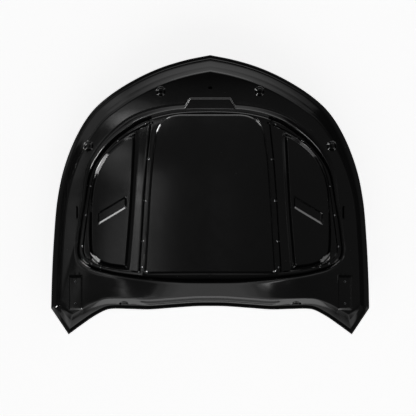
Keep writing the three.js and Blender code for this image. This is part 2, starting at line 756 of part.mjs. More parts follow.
// Rivets stand in the middle of the side panel's flange, at chosen places round its edge.
const RIVET_SHARES = [0.022, 0.105, 0.247, 0.324, 0.407, 0.462, 0.487, 0.615, 0.684, 0.79, 0.9];
function rivetPlaces(side) {
  const line = new THREE.Path(towardsPocket(SIDE_PANEL_FLANGE * 0.45, 0.18));
  line.closePath();
  return RIVET_SHARES.map((share) => {
    const p = line.getPoint(share);
    return new THREE.Vector2(p.x * side, p.y);
  });
}

// A riveted side panel: a hat-shaped strap beside the middle window, which carries on round the
// pocket as a narrow rim. Its flange lies on the frame and its foot on the outer skin.
function sidePanelRings() {
  const pocket = pocketOutline();
  const seat = PANEL_GAP + SIDE_PANEL_T;
  const foot = SKIN_T + FIT_GAP + SIDE_PANEL_T;
  return [
    on(frameFace, sideEdge, seat),
    on(frameFace, towardsPocket(SIDE_PANEL_FLANGE, 0.42), seat),
    on(skinFace, towardsPocket(SIDE_PANEL_FLANGE + HAT_WALL, 0.55), HAT_HEIGHT),
    on(skinFace, fromPocket(POCKET_WALL, 0.4), HAT_HEIGHT),
    on(skinFace, pocket, foot),
    on(skinFace, inset(pocket, POCKET_FOOT), foot),
  ];
}
function sidePanel(side) {
  const rings = sidePanelRings();
  const up = vertexNormals(stackedFaces(rings))[0].z > 0 ? -1 : 1;
  let panel = sheetMetal(rings, SIDE_PANEL_T * up);
  for (const p of rivetPlaces(1)) {
    panel = panel.subtract(prism(circle(p.x, p.y, RIVET_HOLE_RADIUS, 5)));
  }
  const geometry = toGeometry(panel);
  return side > 0 ? geometry : mirrorGeometry(geometry);
}

function mirrorGeometry(geometry) {
  geometry.scale(-1, 1, 1);
  const index = geometry.index.array;
  for (let i = 0; i < index.length; i += 3) {
    [index[i + 1], index[i + 2]] = [index[i + 2], index[i + 1]];
  }
  geometry.computeVertexNormals();
  return geometry;
}

// A plate inside the box section, under the hinge seat.
function hingeReinforcement(side) {
  const land = frameRings().slice(3, 6);
  const top = FRAME_T + PLATE_GAP;
  const layer = layerBelow(land, top, top + REINFORCEMENT_T);
  const p = place(HINGE_PLACE);
  const w = HINGE_SEAT_WIDTH / 2 + HINGE_PLATE_MARGIN;
  const l = HINGE_SEAT_LENGTH / 2 + HINGE_PLATE_MARGIN;
  const x = p.x * side;
  let plate = layer.intersect(prism([
    new THREE.Vector2(x - w, p.y - l), new THREE.Vector2(x + w, p.y - l),
    new THREE.Vector2(x + w, p.y + l), new THREE.Vector2(x - w, p.y + l),
  ]));
  for (const bolt of hingeBolts(side)) {
    plate = plate.subtract(prism(circle(bolt.x, bolt.y, BOLT_HOLE_RADIUS, 8)));
  }
  return toGeometry(plate);
}

// A weld nut under a reinforcement, square on the crown.
function weldNut(x, y, below) {
  const shape = new THREE.Shape(circle(0, 0, NUT_ACROSS_FLATS / Math.sqrt(3), 6));
  shape.holes.push(new THREE.Path(circle(0, 0, NUT_BORE_RADIUS, 10)));
  const nut = new THREE.ExtrudeGeometry(shape, { depth: NUT_HEIGHT, bevelEnabled: false });
  nut.translate(0, 0, -NUT_HEIGHT);
  return seated(nut, x, y, LAND_HEIGHT - below);
}

// The plate under the striker's recess, flat and square on the crown.
function strikerReinforcement() {
  const top = LATCH_TOP_WIDTH / 2 - STRIKER_PLATE_MARGIN;
  const bottom = LATCH_BOTTOM_WIDTH / 2 - STRIKER_PLATE_MARGIN;
  const end = LATCH_LENGTH / 2 - STRIKER_PLATE_END_MARGIN;
  const shape = new THREE.Shape([
    new THREE.Vector2(-top, end),
    new THREE.Vector2(-bottom, -end),
    new THREE.Vector2(bottom, -end),
    new THREE.Vector2(top, end),
  ]);
  for (const side of [1, -1]) {
    const x = (side * STRIKER_BOLT_SPACING) / 2;
    shape.holes.push(new THREE.Path(circle(x, 0, BOLT_HOLE_RADIUS, 10)));
  }
  const plate = new THREE.ExtrudeGeometry(shape, { depth: REINFORCEMENT_T, bevelEnabled: false });
  plate.translate(0, 0, -REINFORCEMENT_T);
  return seated(plate, 0, latchMiddleY(), LAND_HEIGHT - strikerDrop());
}
const strikerDrop = () => LATCH_DEPTH + FRAME_T + PLATE_GAP;

// A rivet, square on the side panel's flange.
function rivet(x, y) {
  const tail = -SIDE_PANEL_T - PANEL_GAP - FRAME_T - RIVET_TAIL;
  const profile = [
    [0, tail], [RIVET_SHANK_RADIUS, tail], [RIVET_SHANK_RADIUS, 0], [RIVET_HEAD_RADIUS, 0],
    [RIVET_HEAD_RADIUS * 0.6, RIVET_HEAD_HEIGHT * 0.8], [0, RIVET_HEAD_HEIGHT],
  ].map(([r, z]) => new THREE.Vector2(r, z));
  const body = new THREE.LatheGeometry(profile, 6).rotateX(Math.PI / 2);
  const { z, normal } = flangeFace(Math.abs(x), y);
  normal.x *= Math.sign(x);
  body.applyQuaternion(new THREE.Quaternion().setFromUnitVectors(UPRIGHT, normal));
  return toGeometry(toSolid(body.translate(x, y, z + FIT_GAP)));
}

// Black electrophoretic primer on everything, and zinc on the small fasteners.
function material(colour, roughness, metalness) {
  return new THREE.MeshStandardMaterial({ color: colour, roughness, metalness });
}
const SKIN_BLACK = material(0x101011, 0.28, 0);
const FRAME_BLACK = material(0x141416, 0.32, 0);
const PANEL_BLACK = material(0x17171a, 0.35, 0);
const ZINC = material(0x9c9fa3, 0.4, 0.9);

const bonnet = new THREE.Group();
function piece(name, geometry, finish) {
  const mesh = new THREE.Mesh(geometry, finish);
  mesh.name = name;
  bonnet.add(mesh);
}

piece('outer_skin', outerSkin(), SKIN_BLACK);
piece('inner_frame', innerFrame(), FRAME_BLACK);
piece('striker_reinforcement', strikerReinforcement(), PANEL_BLACK);
for (const end of [1, -1]) {
  const x = (end * STRIKER_BOLT_SPACING) / 2;
  const below = strikerDrop() + REINFORCEMENT_T + FIT_GAP;
  const name = end > 0 ? 'striker_nut_right' : 'striker_nut_left';
  piece(name, weldNut(x, latchMiddleY(), below), ZINC);
}
for (const [word, side] of [['right', 1], ['left', -1]]) {
  piece(`side_panel_${word}`, sidePanel(side), PANEL_BLACK);
  piece(`hinge_reinforcement_${word}`, hingeReinforcement(side), PANEL_BLACK);
  hingeBolts(side).forEach((p, i) => {
    const below = FRAME_T + PLATE_GAP + REINFORCEMENT_T + NUT_GAP;
    piece(`hinge_nut_${word}_${i ? 'rear' : 'front'}`, weldNut(p.x, p.y, below), ZINC);
  });
  rivetPlaces(side).forEach((p, i) => {
    piece(`rivet_${word}_${i + 1}`, rivet(p.x, p.y), ZINC);
  });
}

export default bonnet;
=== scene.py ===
import json
from math import pi, radians

import bpy
import numpy as np
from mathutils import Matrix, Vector

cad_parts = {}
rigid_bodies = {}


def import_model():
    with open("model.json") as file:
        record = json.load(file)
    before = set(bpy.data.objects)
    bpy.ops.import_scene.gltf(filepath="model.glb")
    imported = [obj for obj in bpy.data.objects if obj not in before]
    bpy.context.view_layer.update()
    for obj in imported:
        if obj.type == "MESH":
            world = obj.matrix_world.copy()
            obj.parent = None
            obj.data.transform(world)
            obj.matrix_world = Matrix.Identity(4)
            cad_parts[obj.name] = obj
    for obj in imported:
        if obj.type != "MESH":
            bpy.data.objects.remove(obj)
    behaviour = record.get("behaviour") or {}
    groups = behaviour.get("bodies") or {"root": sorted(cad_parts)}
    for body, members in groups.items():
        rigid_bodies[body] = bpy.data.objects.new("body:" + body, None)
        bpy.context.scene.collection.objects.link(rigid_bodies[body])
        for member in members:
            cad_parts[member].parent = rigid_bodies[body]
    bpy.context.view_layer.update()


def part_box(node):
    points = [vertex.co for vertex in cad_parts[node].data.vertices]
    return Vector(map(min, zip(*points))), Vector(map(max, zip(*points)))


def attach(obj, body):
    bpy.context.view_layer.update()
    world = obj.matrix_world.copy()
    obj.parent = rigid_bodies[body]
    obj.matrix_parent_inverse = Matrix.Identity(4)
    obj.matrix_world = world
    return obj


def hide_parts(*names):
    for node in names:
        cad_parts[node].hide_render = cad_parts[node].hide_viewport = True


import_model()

bpy.ops.object.select_all(action="DESELECT")

# The studio: the bonnet lies on a plain pale floor with its underside up, and a long lens looks
# straight down on it. The room is dark overhead and bright low down beside the rear edge, so the
# black paint stays black where it faces the camera and turns grey where it slopes away.
METRES_PER_PIXEL = 0.0046
FRAME_PIXELS = 416
CAMERA_HEIGHT = 14.0
RIM_HEIGHT = 0.09
CAMERA_X = -0.0101
CAMERA_Y = -0.0598
SENSOR_WIDTH = 36.0
VIEW_DEPTH = 100.0
FLOOR_SIZE = 80.0
FLOOR_DROP = 0.0006
FLOOR_GREY = 0.93
FLOOR_GLOW = 0.83
WHITE = (1.0, 1.0, 1.0, 1.0)

bpy.ops.object.camera_add(location=(CAMERA_X, CAMERA_Y, CAMERA_HEIGHT))
camera = bpy.context.object
camera.name = "view_from_above"
camera.data.sensor_width = SENSOR_WIDTH
picture_width = FRAME_PIXELS * METRES_PER_PIXEL
camera.data.lens = SENSOR_WIDTH * (CAMERA_HEIGHT - RIM_HEIGHT) / picture_width
camera.data.clip_end = VIEW_DEPTH
bpy.context.scene.camera = camera
bpy.context.scene.view_settings.view_transform = "Standard"

bpy.ops.mesh.primitive_plane_add(size=FLOOR_SIZE, location=(0.0, 0.0, -FLOOR_DROP))
floor = bpy.context.object
floor.name = "studio_floor"
floor_paper = bpy.data.materials.new("floor_paper")
floor_paper.use_nodes = True
paper = floor_paper.node_tree.nodes["Principled BSDF"]
paper.inputs["Base Color"].default_value = (FLOOR_GREY, FLOOR_GREY, FLOOR_GREY, 1.0)
paper.inputs["Roughness"].default_value = 0.9
paper.inputs["Specular IOR Level"].default_value = 0.1
paper.inputs["Emission Color"].default_value = WHITE
paper.inputs["Emission Strength"].default_value = FLOOR_GLOW
floor.data.materials.append(floor_paper)

world = bpy.data.worlds.new("studio_room")
bpy.context.scene.world = world
world.use_nodes = True
room = world.node_tree
room.nodes.clear()


def room_node(kind, **values):
    node = room.nodes.new(kind)
    for key, value in values.items():
        setattr(node, key, value)
    return node


# A direction's place on the ramp is about 0.1 straight overhead and low down before the nose,
# 0.5 at the horizon on both sides, and 0.92 at the horizon behind the rear edge.
RAMP_MIDDLE = 0.5
RAMP_PER_Y = -0.42
RAMP_PER_Z = -0.4
GLOW = [(0.0, 0.02), (0.1, 0.14), (0.2, 0.13), (0.27, 0.12), (0.32, 0.02), (0.5, 0.06),
        (0.6, 0.5), (0.75, 0.95), (0.88, 0.4), (1.0, 0.3)]
direction = room_node("ShaderNodeTexCoord")
axes = room_node("ShaderNodeSeparateXYZ")
towards_rear = room_node("ShaderNodeMath", operation="MULTIPLY_ADD")
towards_rear.inputs[1].default_value = RAMP_PER_Y
towards_rear.inputs[2].default_value = RAMP_MIDDLE
towards_horizon = room_node("ShaderNodeMath", operation="MULTIPLY_ADD")
towards_horizon.inputs[1].default_value = RAMP_PER_Z
room_glow = room_node("ShaderNodeValToRGB")
room_glow.color_ramp.interpolation = "B_SPLINE"
ramp = room_glow.color_ramp.elements
for place, level in GLOW:
    if place in (0.0, 1.0):
        stop = ramp[0 if place == 0.0 else -1]
    else:
        stop = ramp.new(place)
    stop.color = (level, level, level, 1.0)
reflected = room_node("ShaderNodeBackground")
seen = room_node("ShaderNodeBackground")
seen.inputs["Color"].default_value = WHITE
ray = room_node("ShaderNodeLightPath")
mix = room_node("ShaderNodeMixShader")
out = room_node("ShaderNodeOutputWorld")
join = room.links.new
join(direction.outputs["Generated"], axes.inputs[0])
join(axes.outputs["Y"], towards_rear.inputs[0])
join(axes.outputs["Z"], towards_horizon.inputs[0])
join(towards_rear.outputs[0], towards_horizon.inputs[2])
join(towards_horizon.outputs[0], room_glow.inputs[0])
join(room_glow.outputs["Color"], reflected.inputs["Color"])
join(ray.outputs["Is Camera Ray"], mix.inputs[0])
join(reflected.outputs[0], mix.inputs[1])
join(seen.outputs[0], mix.inputs[2])
join(mix.outputs[0], out.inputs["Surface"])


def softbox(name, place, target, size, radiance, shape="RECTANGLE"):
    """A soft lamp of an even brightness that only the paint mirrors."""
    bpy.ops.object.light_add(type="AREA", location=place)
    lamp = bpy.context.object
    lamp.name = name
    aim = Vector(target) - Vector(place)
    lamp.rotation_euler = aim.to_track_quat("-Z", "Y").to_euler()
    lamp.data.shape = shape
    lamp.data.size, lamp.data.size_y = size
    area = size[0] * size[1] * (pi / 4 if shape == "ELLIPSE" else 1)
    lamp.data.energy = radiance * pi * area
    lamp.visible_camera = False
    lamp.visible_diffuse = False


# The outer skin: one thin pressing, crowned across and towards the nose, with its edge turned up
# and folded back over the inner frame as a hem. Two shallow vent blanks are pressed into it. It
# is dipped in black primer all over.
HALF_WIDTH = 0.731
LENGTH = 1.285
SIDE_RISE = 0.062
NOSE_RISE = 0.080
REAR_RISE = 0.014
CROWN_POWER = 2.6
EDGE_DEPTH = 0.048
REAR_EDGE_DEPTH = 0.019
HEM_WIDTH = 0.017
HEM_SINK = 0.0006
SHOULDER_WIDTH = 0.046
SKIN_THICKNESS = 0.0012
EDGE_LINE = [
    [(0, 0.5), (0.15, 0.483), (0.313, 0.455), (0.478, 0.412), (0.6375, 0.3545)],
    [(0.6375, 0.3545), (0.747, 0.297), (0.842, 0.211), (0.92, 0.0967), (0.962, -0.018)],
    [(0.962, -0.018), (0.984, -0.161), (0.996, -0.304), (1, -0.4046)],
    [(1, -0.4046), (0.892, -0.5)],
    [(0.892, -0.5), (0.807, -0.4647), (0.731, -0.435), (0.656, -0.413), (0.618, -0.409)],
    [(0.618, -0.409), (0.503, -0.41), (0.39, -0.4117), (0.239, -0.406), (0.09, -0.4003),
     (0, -0.3996)],
]
EDGE_RUNS = [(0, 1, 2), (3,), (4, 5)]
FINE_CUTS = 4
LAST_PLACE = 6
PLACES = range(LAST_PLACE + 1)
MERGE_DISTANCE = 1e-5


def crown(x, y):
    """Height of the skin's outside face above the floor."""
    rise = np.where(y > 0, NOSE_RISE, REAR_RISE)
    across = SIDE_RISE * np.abs(x / HALF_WIDTH) ** CROWN_POWER
    return across + rise * np.abs(y / (LENGTH / 2)) ** CROWN_POWER


def crown_normal(x, y):
    """The way that faces straight up out of the crowned sheet."""
    step = 0.001
    slope_x = (crown(x + step, y) - crown(x - step, y)) / (2 * step)
    slope_y = (crown(x, y + step) - crown(x, y - step)) / (2 * step)
    return Vector((-float(slope_x), -float(slope_y), 1.0)).normalized()


def smooth_line(knots, before, after, per_span=40):
    """A flowing line through knots, with the index of each knot on it."""
    line = [np.array(p, float) for p in [before, *knots, after]]
    points, marks = [], []
    for p0, p1, p2, p3 in zip(line, line[1:], line[2:], line[3:]):
        marks.append(len(points))
        t0 = 0.0
        t1 = t0 + np.linalg.norm(p1 - p0) ** 0.5
        t2 = t1 + np.linalg.norm(p2 - p1) ** 0.5
        t3 = t2 + np.linalg.norm(p3 - p2) ** 0.5
        for t in np.linspace(t1, t2, per_span, endpoint=False):
            a = p0 + (p1 - p0) * (t - t0) / (t1 - t0)
            b = p1 + (p2 - p1) * (t - t1) / (t2 - t1)
            c = p2 + (p3 - p2) * (t - t2) / (t3 - t2)
            d = a + (b - a) * (t - t0) / (t2 - t0)
            e = b + (c - b) * (t - t1) / (t3 - t1)
            points.append(d + (e - d) * (t - t1) / (t2 - t1))
    marks.append(len(points))
    points.append(line[-2])
    return np.array(points), marks


def shares_along(line):
    """How far along a line each of its points lies, as a share of its length."""
    steps = np.linalg.norm(np.diff(line, axis=0), axis=1)
    return np.concatenate([[0], np.cumsum(steps)]) / steps.sum()


def line_at(stretches, runs, where, mirrored_ends=True):
    """Points of an outline at positions along it: whole numbers are its matching places."""
    where = np.asarray(where, float)
    result = np.zeros((len(where), 2))
    scale = np.array([HALF_WIDTH, LENGTH])
    for run in runs:
        knots = [np.array(p) * scale for p in stretches[run[0]]]
        lengths = [len(knots) - 1]
        for s in run[1:]:
            knots += [np.array(p) * scale for p in stretches[s][1:]]
            lengths.append(len(stretches[s]) - 1)
        before = 2 * knots[0] - knots[1]
        after = 2 * knots[-1] - knots[-2]
        if mirrored_ends and run[0] == 0 and stretches is not EDGE_LINE:
            before = knots[1] * np.array([-1, 1])
        if mirrored_ends and run[-1] == len(stretches) - 1:
            after = knots[-2] * np.array([-1, 1])
        points, marks = smooth_line(knots, before, after)
        first = 0
        for s, count in zip(run, lengths):
            part = points[marks[first]:marks[first + count] + 1]
            first += count
            along = shares_along(part)
            here = (where >= s) & (where <= s + 1)
            for axis in (0, 1):
                result[here, axis] = np.interp(where[here] - s, along, part[:, axis])
    return result


def both_halves(right):
    """The right half's values, and then their mirror images back towards the start."""
    left = right[1:-1][::-1].copy()
    if left.ndim > 1:
        left[:, 0] *= -1
    return np.concatenate([right, left])


def inset(line, width, corners=(), least_mitre=0.6):
    """Moves a closed line inwards; points between two named corners are spread evenly."""
    n = len(line)
    into = line - np.roll(line, 1, axis=0)
    into /= np.linalg.norm(into, axis=1)[:, None]
    out_of = np.roll(into, -1, axis=0)
    x, y = line[:, 0], line[:, 1]
    area = np.sum(x * np.roll(y, -1) - np.roll(x, -1) * y)
    turn = np.sign(area)
    inward = np.stack([-(into[:, 1] + out_of[:, 1]), into[:, 0] + out_of[:, 0]], 1) * turn
    inward /= np.linalg.norm(inward, axis=1)[:, None]
    mitre = turn * (into[:, 0] * inward[:, 1] - into[:, 1] * inward[:, 0])
    mitre = np.maximum(least_mitre, mitre)
    move = inward * (np.broadcast_to(width, (n,)) / mitre)[:, None]
    moved = line + move
    for k, start in enumerate(corners):
        end = corners[(k + 1) % len(corners)]
        end += n if end <= start else 0
        slide_start = move[start] @ out_of[start]
        slide_end = move[end % n] @ into[end % n]
        for i in range(start + 1, end):
            share = (i - start) / (end - start)
            along = into[i % n] + out_of[i % n]
            along /= np.linalg.norm(along)
            moved[i % n] += along * (slide_start + (slide_end - slide_start) * share)
    return moved


def station_positions(spacing, fine_spacing=None, places=(), least_gap=0.012):
    """Positions along the half outline, closer together beside the pressed details."""
    u = np.linspace(0, LAST_PLACE, 1000 * LAST_PLACE + 1)
    line = line_at(EDGE_LINE, EDGE_RUNS, u)
    steps = np.linalg.norm(np.diff(line, axis=0), axis=1)
    middle = (line[1:] + line[:-1]) / 2
    gap = np.full(len(middle), spacing)
    for x, y, reach in places:
        gap[np.hypot(middle[:, 0] - x, middle[:, 1] - y) < reach] = fine_spacing
    count = np.concatenate([[0], np.cumsum(steps / gap)])
    even = np.interp(np.linspace(0, count[-1], int(count[-1]) + 1), count, u)
    whole = np.arange(LAST_PLACE + 1)
    keep = [p for p in even if np.min(np.abs(whole - p)) > least_gap]
    return np.sort(np.concatenate([keep, whole]))


def station_corners(u):
    """The places where an outline may turn sharply, on both halves."""
    right = [int(np.argmin(np.abs(u - k))) for k in PLACES]
    n = 2 * len(u) - 2
    return right + [n - k for k in right[1:-1][::-1]]


def rounded_rings(controls, radii, spans, bend_steps=5, most_of_side=0.48):
    """Rings through control lines (x, y, height), with each bend rounded to its radius."""
    rings = [controls[0]]
    bend_steps = np.broadcast_to(bend_steps, len(controls))
    for k in range(1, len(controls)):
        start = rings[-1]
        last = k == len(controls) - 1
        if last:
            stop = controls[k]
        else:
            back = controls[k - 1] - controls[k]
            ahead = controls[k + 1] - controls[k]
            back_length = np.linalg.norm(back, axis=1)[:, None]
            ahead_length = np.linalg.norm(ahead, axis=1)[:, None]
            shorter = np.minimum(back_length, ahead_length)
            reach = np.minimum(radii[k], most_of_side * shorter)
            stop = controls[k] + back / back_length * reach
            leave = controls[k] + ahead / ahead_length * reach
        for i in range(1, spans[k - 1] + 1):
            rings.append(start + (stop - start) * i / spans[k - 1])
        if not last:
            for t in np.linspace(0, 1, bend_steps[k] + 1)[1:]:
                bend = stop * (1 - t) ** 2 + 2 * controls[k] * t * (1 - t) + leave * t ** 2
                rings.append(bend)
    return np.array(rings)


def on_crown(rings):
    """Lifts rings, whose heights count from the crown, to their real heights."""
    rings[..., 2] += crown(rings[..., 0], rings[..., 1])
    return rings


def wrapped_sheet(name, rings):
    """A grid primitive wrapped round the object, one row for each ring."""
    rows, columns = rings.shape[:2]
    bpy.ops.mesh.primitive_grid_add(x_subdivisions=columns, y_subdivisions=rows - 1, size=1.0)
    sheet = bpy.context.object
    sheet.name = name
    sheet.data.name = name
    closed = np.concatenate([rings, rings[:, :1]], axis=1).reshape(-1, 3)
    sheet.data.vertices.foreach_set("co", closed.ravel())
    sheet.location = (0, 0, 0)
    bpy.ops.object.mode_set(mode="EDIT")
    bpy.ops.mesh.select_all(action="SELECT")
    bpy.ops.mesh.remove_doubles(threshold=MERGE_DISTANCE)
    bpy.ops.object.mode_set(mode="OBJECT")
    return sheet


def select_faces(sheet, test):
    """Selects the faces whose middle passes a test, in edit mode's face mode."""
    bpy.ops.object.mode_set(mode="EDIT")
    bpy.ops.mesh.select_mode(type="FACE")
    bpy.ops.mesh.select_all(action="DESELECT")
    bpy.ops.object.mode_set(mode="OBJECT")
    count = len(sheet.data.polygons)
    middles = np.zeros(count * 3)
    sheet.data.polygons.foreach_get("center", middles)
    chosen = test(middles.reshape(-1, 3))
    sheet.data.polygons.foreach_set("select", chosen.astype(bool))
    bpy.ops.object.mode_set(mode="EDIT")


def turn_faces_up(sheet, upwards):
    """Turns every face of a sheet so that its middle faces up, or down."""
    normals = np.zeros(len(sheet.data.polygons) * 3)
    sheet.data.polygons.foreach_get("normal", normals)
    points_up = normals.reshape(-1, 3)[:, 2].sum() > 0
    if points_up != upwards:
        bpy.ops.object.mode_set(mode="EDIT")
        bpy.ops.mesh.select_all(action="SELECT")
        bpy.ops.mesh.flip_normals()
        bpy.ops.object.mode_set(mode="OBJECT")


def thicken(sheet, thickness, angle=35):
    """Gives a sheet its metal thickness behind its faces, and shades its bends smooth."""
    solid = sheet.modifiers.new("thickness", "SOLIDIFY")
    solid.thickness = thickness
    solid.offset = -1.0
    solid.use_even_offset = False
    bpy.ops.object.modifier_apply(modifier=solid.name)
    bpy.ops.object.shade_smooth_by_angle(angle=radians(angle))


def step_between(value, low, high):
    """0 below low, 1 above high, and a smooth rise between them."""
    t = np.clip((value - low) / (high - low), 0, 1)
    return t * t * (3 - 2 * t)


def inside_polygon(x, y, corners):
    """How far inside a polygon with corners in clockwise order each point lies."""
    depth = np.full(x.shape, np.inf)
    for (ax, ay), (bx, by) in zip(corners, corners[1:] + corners[:1]):
        length = np.hypot(bx - ax, by - ay)
        across = ((bx - ax) * (y - ay) - (by - ay) * (x - ax)) / length
        depth = np.minimum(depth, -across)
    return depth


GRAIN_SCALE = 40.0
GRAIN_RADIUS = 0.05
GRAINS_LEFT_OUT = 0.8
DUST_COLOUR = (0.12, 0.12, 0.115, 1)


def black_primer(name, colour, roughness, peel, waviness):
    """Black dip primer: glossy, with a fine orange peel, soft waves, haze and a little dust."""
    finish = bpy.data.materials.new(name)
    finish.use_nodes = True
    tree = finish.node_tree
    paint = tree.nodes["Principled BSDF"]
    place = tree.nodes.new("ShaderNodeTexCoord")
    link = tree.links.new

    def noise(scale, detail, fineness=0.5):
        node = tree.nodes.new("ShaderNodeTexNoise")
        node.inputs["Scale"].default_value = scale
        node.inputs["Detail"].default_value = detail
        node.inputs["Roughness"].default_value = fineness
        link(place.outputs["Object"], node.inputs["Vector"])
        return node.outputs["Fac"]

    def compare(operation, value, limit):
        node = tree.nodes.new("ShaderNodeMath")
        node.operation = operation
        node.inputs[1].default_value = limit
        link(value, node.inputs[0])
        return node.outputs["Value"]

    def bump(height, distance):
        node = tree.nodes.new("ShaderNodeBump")
        node.inputs["Strength"].default_value = 1.0
        node.inputs["Distance"].default_value = distance
        link(height, node.inputs["Height"])
        return node

    tint = tree.nodes.new("ShaderNodeValToRGB")
    for stop, position, strength in zip(tint.color_ramp.elements, (0.35, 0.75), (0.8, 1.35)):
        stop.position = position
        stop.color = (*[c * strength for c in colour], 1)
    link(noise(5.0, 5.0, 0.6), tint.inputs["Fac"])
    grains = tree.nodes.new("ShaderNodeTexVoronoi")
    grains.inputs["Scale"].default_value = GRAIN_SCALE
    link(place.outputs["Object"], grains.inputs["Vector"])
    dust = tree.nodes.new("ShaderNodeMath")
    dust.operation = "MULTIPLY"
    link(compare("LESS_THAN", grains.outputs["Distance"], GRAIN_RADIUS), dust.inputs[0])
    link(compare("GREATER_THAN", grains.outputs["Color"], GRAINS_LEFT_OUT), dust.inputs[1])
    dusty = tree.nodes.new("ShaderNodeMixRGB")
    dusty.inputs["Color2"].default_value = DUST_COLOUR
    link(dust.outputs["Value"], dusty.inputs["Fac"])
    link(tint.outputs["Color"], dusty.inputs["Color1"])
    link(dusty.outputs["Color"], paint.inputs["Base Color"])
    gloss = tree.nodes.new("ShaderNodeMapRange")
    gloss.inputs["From Min"].default_value = 0.3
    gloss.inputs["From Max"].default_value = 0.75
    gloss.inputs["To Min"].default_value = roughness * 0.88
    gloss.inputs["To Max"].default_value = roughness * 1.25
    link(noise(14.0, 4.0, 0.65), gloss.inputs["Value"])
    link(gloss.outputs["Result"], paint.inputs["Roughness"])
    paint.inputs["Specular IOR Level"].default_value = 0.5
    waves = bump(noise(22.0, 1.0), waviness)
    orange_peel = bump(noise(650.0, 2.0), peel)
    link(waves.outputs["Normal"], orange_peel.inputs["Normal"])
    link(orange_peel.outputs["Normal"], paint.inputs["Normal"])
    return finish


def vertex_places(sheet):
    """Every vertex's place, one row for each."""
    places = np.zeros(len(sheet.data.vertices) * 3)
    sheet.data.vertices.foreach_get("co", places)
    return places.reshape(-1, 3)


def finish_piece(piece, finish, slot, *nodes):
    """Paints a piece, says which body it rides on, and hides the solids it stands for."""
    piece.data.materials.clear()
    piece.data.materials.append(finish)
    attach(piece, "root")
    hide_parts(*nodes)
    bpy.ops.object.select_all(action="DESELECT")


def ring(line, height):
    """A ring of points over a line, at a height above the crown."""
    return np.column_stack([line, np.broadcast_to(height, (len(line),))])


EDGE_DEPTHS = [EDGE_DEPTH] * 4 + [REAR_EDGE_DEPTH] * 3
HEM_TILTS = [0, 0, 0, 0.0006, 0.0012, 0.0012, 0.0012]
HEM_CREST_START = 0.0150
HEM_CREST_END = 0.0040
HEM_ROLL = 0.0015
HEM_ROLL_DROP = 0.0004
EDGE_STEPS = [(0.0, 0.92), (HEM_WIDTH / 4, 0.55), (HEM_WIDTH, 0.18)]
MIDDLE_OVAL = (0.36, 0.30)
MIDDLE_END_SHARE = 0.002
MIDDLE_MERGE_RADIUS = 0.004

skin_u = station_positions(0.0088)
skin_edge = both_halves(line_at(EDGE_LINE, EDGE_RUNS, skin_u))
skin_corners = station_corners(skin_u)
skin_depth = both_halves(np.interp(skin_u, PLACES, EDGE_DEPTHS))
hem_tilt = both_halves(np.interp(skin_u, PLACES, HEM_TILTS))


def skin_line(distance):
    """The skin's outline, moved inwards."""
    return inset(skin_edge, distance, skin_corners)


turn = np.arange(len(skin_edge)) / len(skin_edge) * 2 * pi
middle_oval = np.column_stack([np.sin(turn), np.cos(turn)]) * MIDDLE_OVAL
skin_controls = [
    ring(skin_line(HEM_WIDTH), skin_depth - hem_tilt - HEM_SINK),
    ring(skin_line(HEM_CREST_START), skin_depth - hem_tilt),
    ring(skin_line(HEM_CREST_END), skin_depth),
    ring(skin_line(HEM_ROLL), skin_depth - HEM_ROLL_DROP),
    *[ring(skin_line(distance), skin_depth * share) for distance, share in EDGE_STEPS],
    ring(skin_line(SHOULDER_WIDTH), 0.0),
    ring(middle_oval, 0.0),
    ring(middle_oval * MIDDLE_END_SHARE, 0.0),
]
skin_rings = rounded_rings(
    skin_controls,
    radii=[0, 0.001, 0.001, 0.001, 0.004, 0.008, 0.014, 0.02, 0.01, 0],
    spans=[1, 1, 1, 1, 1, 1, 1, 22, 12],
    bend_steps=3)
outer_skin = wrapped_sheet("outer_skin_pressing", on_crown(skin_rings))
bpy.ops.object.mode_set(mode="EDIT")
bpy.ops.mesh.select_mode(type="VERT")
bpy.ops.mesh.select_all(action="DESELECT")
bpy.ops.object.mode_set(mode="OBJECT")
for vertex in outer_skin.data.vertices:
    vertex.select = vertex.co.xy.length < MIDDLE_MERGE_RADIUS
bpy.ops.object.mode_set(mode="EDIT")
bpy.ops.mesh.merge(type="CENTER")
bpy.ops.object.mode_set(mode="OBJECT")

VENT_FRONT = (0.531 * HALF_WIDTH, -0.0036 * LENGTH)
VENT_WIDTH = 0.130
VENT_LENGTH = 0.055
VENT_SLANT = 0.078
VENT_DEPTH = 0.006
VENT_WALL = 0.006
VENT_RAMP = 0.010
VENT_ROUNDING = 0.001
VENT_MARGIN = 0.012
VENT_REACH = 0.5
SKIN_ONLY = 0.004
vx, vy = VENT_FRONT
vent_corners = [
    (vx, vy), (vx + VENT_WIDTH, vy - VENT_SLANT),
    (vx + VENT_WIDTH, vy - VENT_SLANT - VENT_LENGTH), (vx, vy - VENT_LENGTH)]
vent_slope = VENT_SLANT / VENT_WIDTH
vent_rear_edge = [
    (vx - 1, vy + 1), (vx + 1, vy + 1),
    (vx + VENT_WIDTH + VENT_REACH, vy - vent_slope * (VENT_WIDTH + VENT_REACH) - VENT_LENGTH),
    (vx - VENT_REACH, vy + vent_slope * VENT_REACH - VENT_LENGTH)]


def near_a_vent(middles):
    """The faces of the skin's broad middle in and close round a vent blank."""
    x, y, z = middles.T
    depth = inside_polygon(np.abs(x), y, vent_corners)
    return (depth > -VENT_MARGIN) & (z < crown(x, y) + SKIN_ONLY)


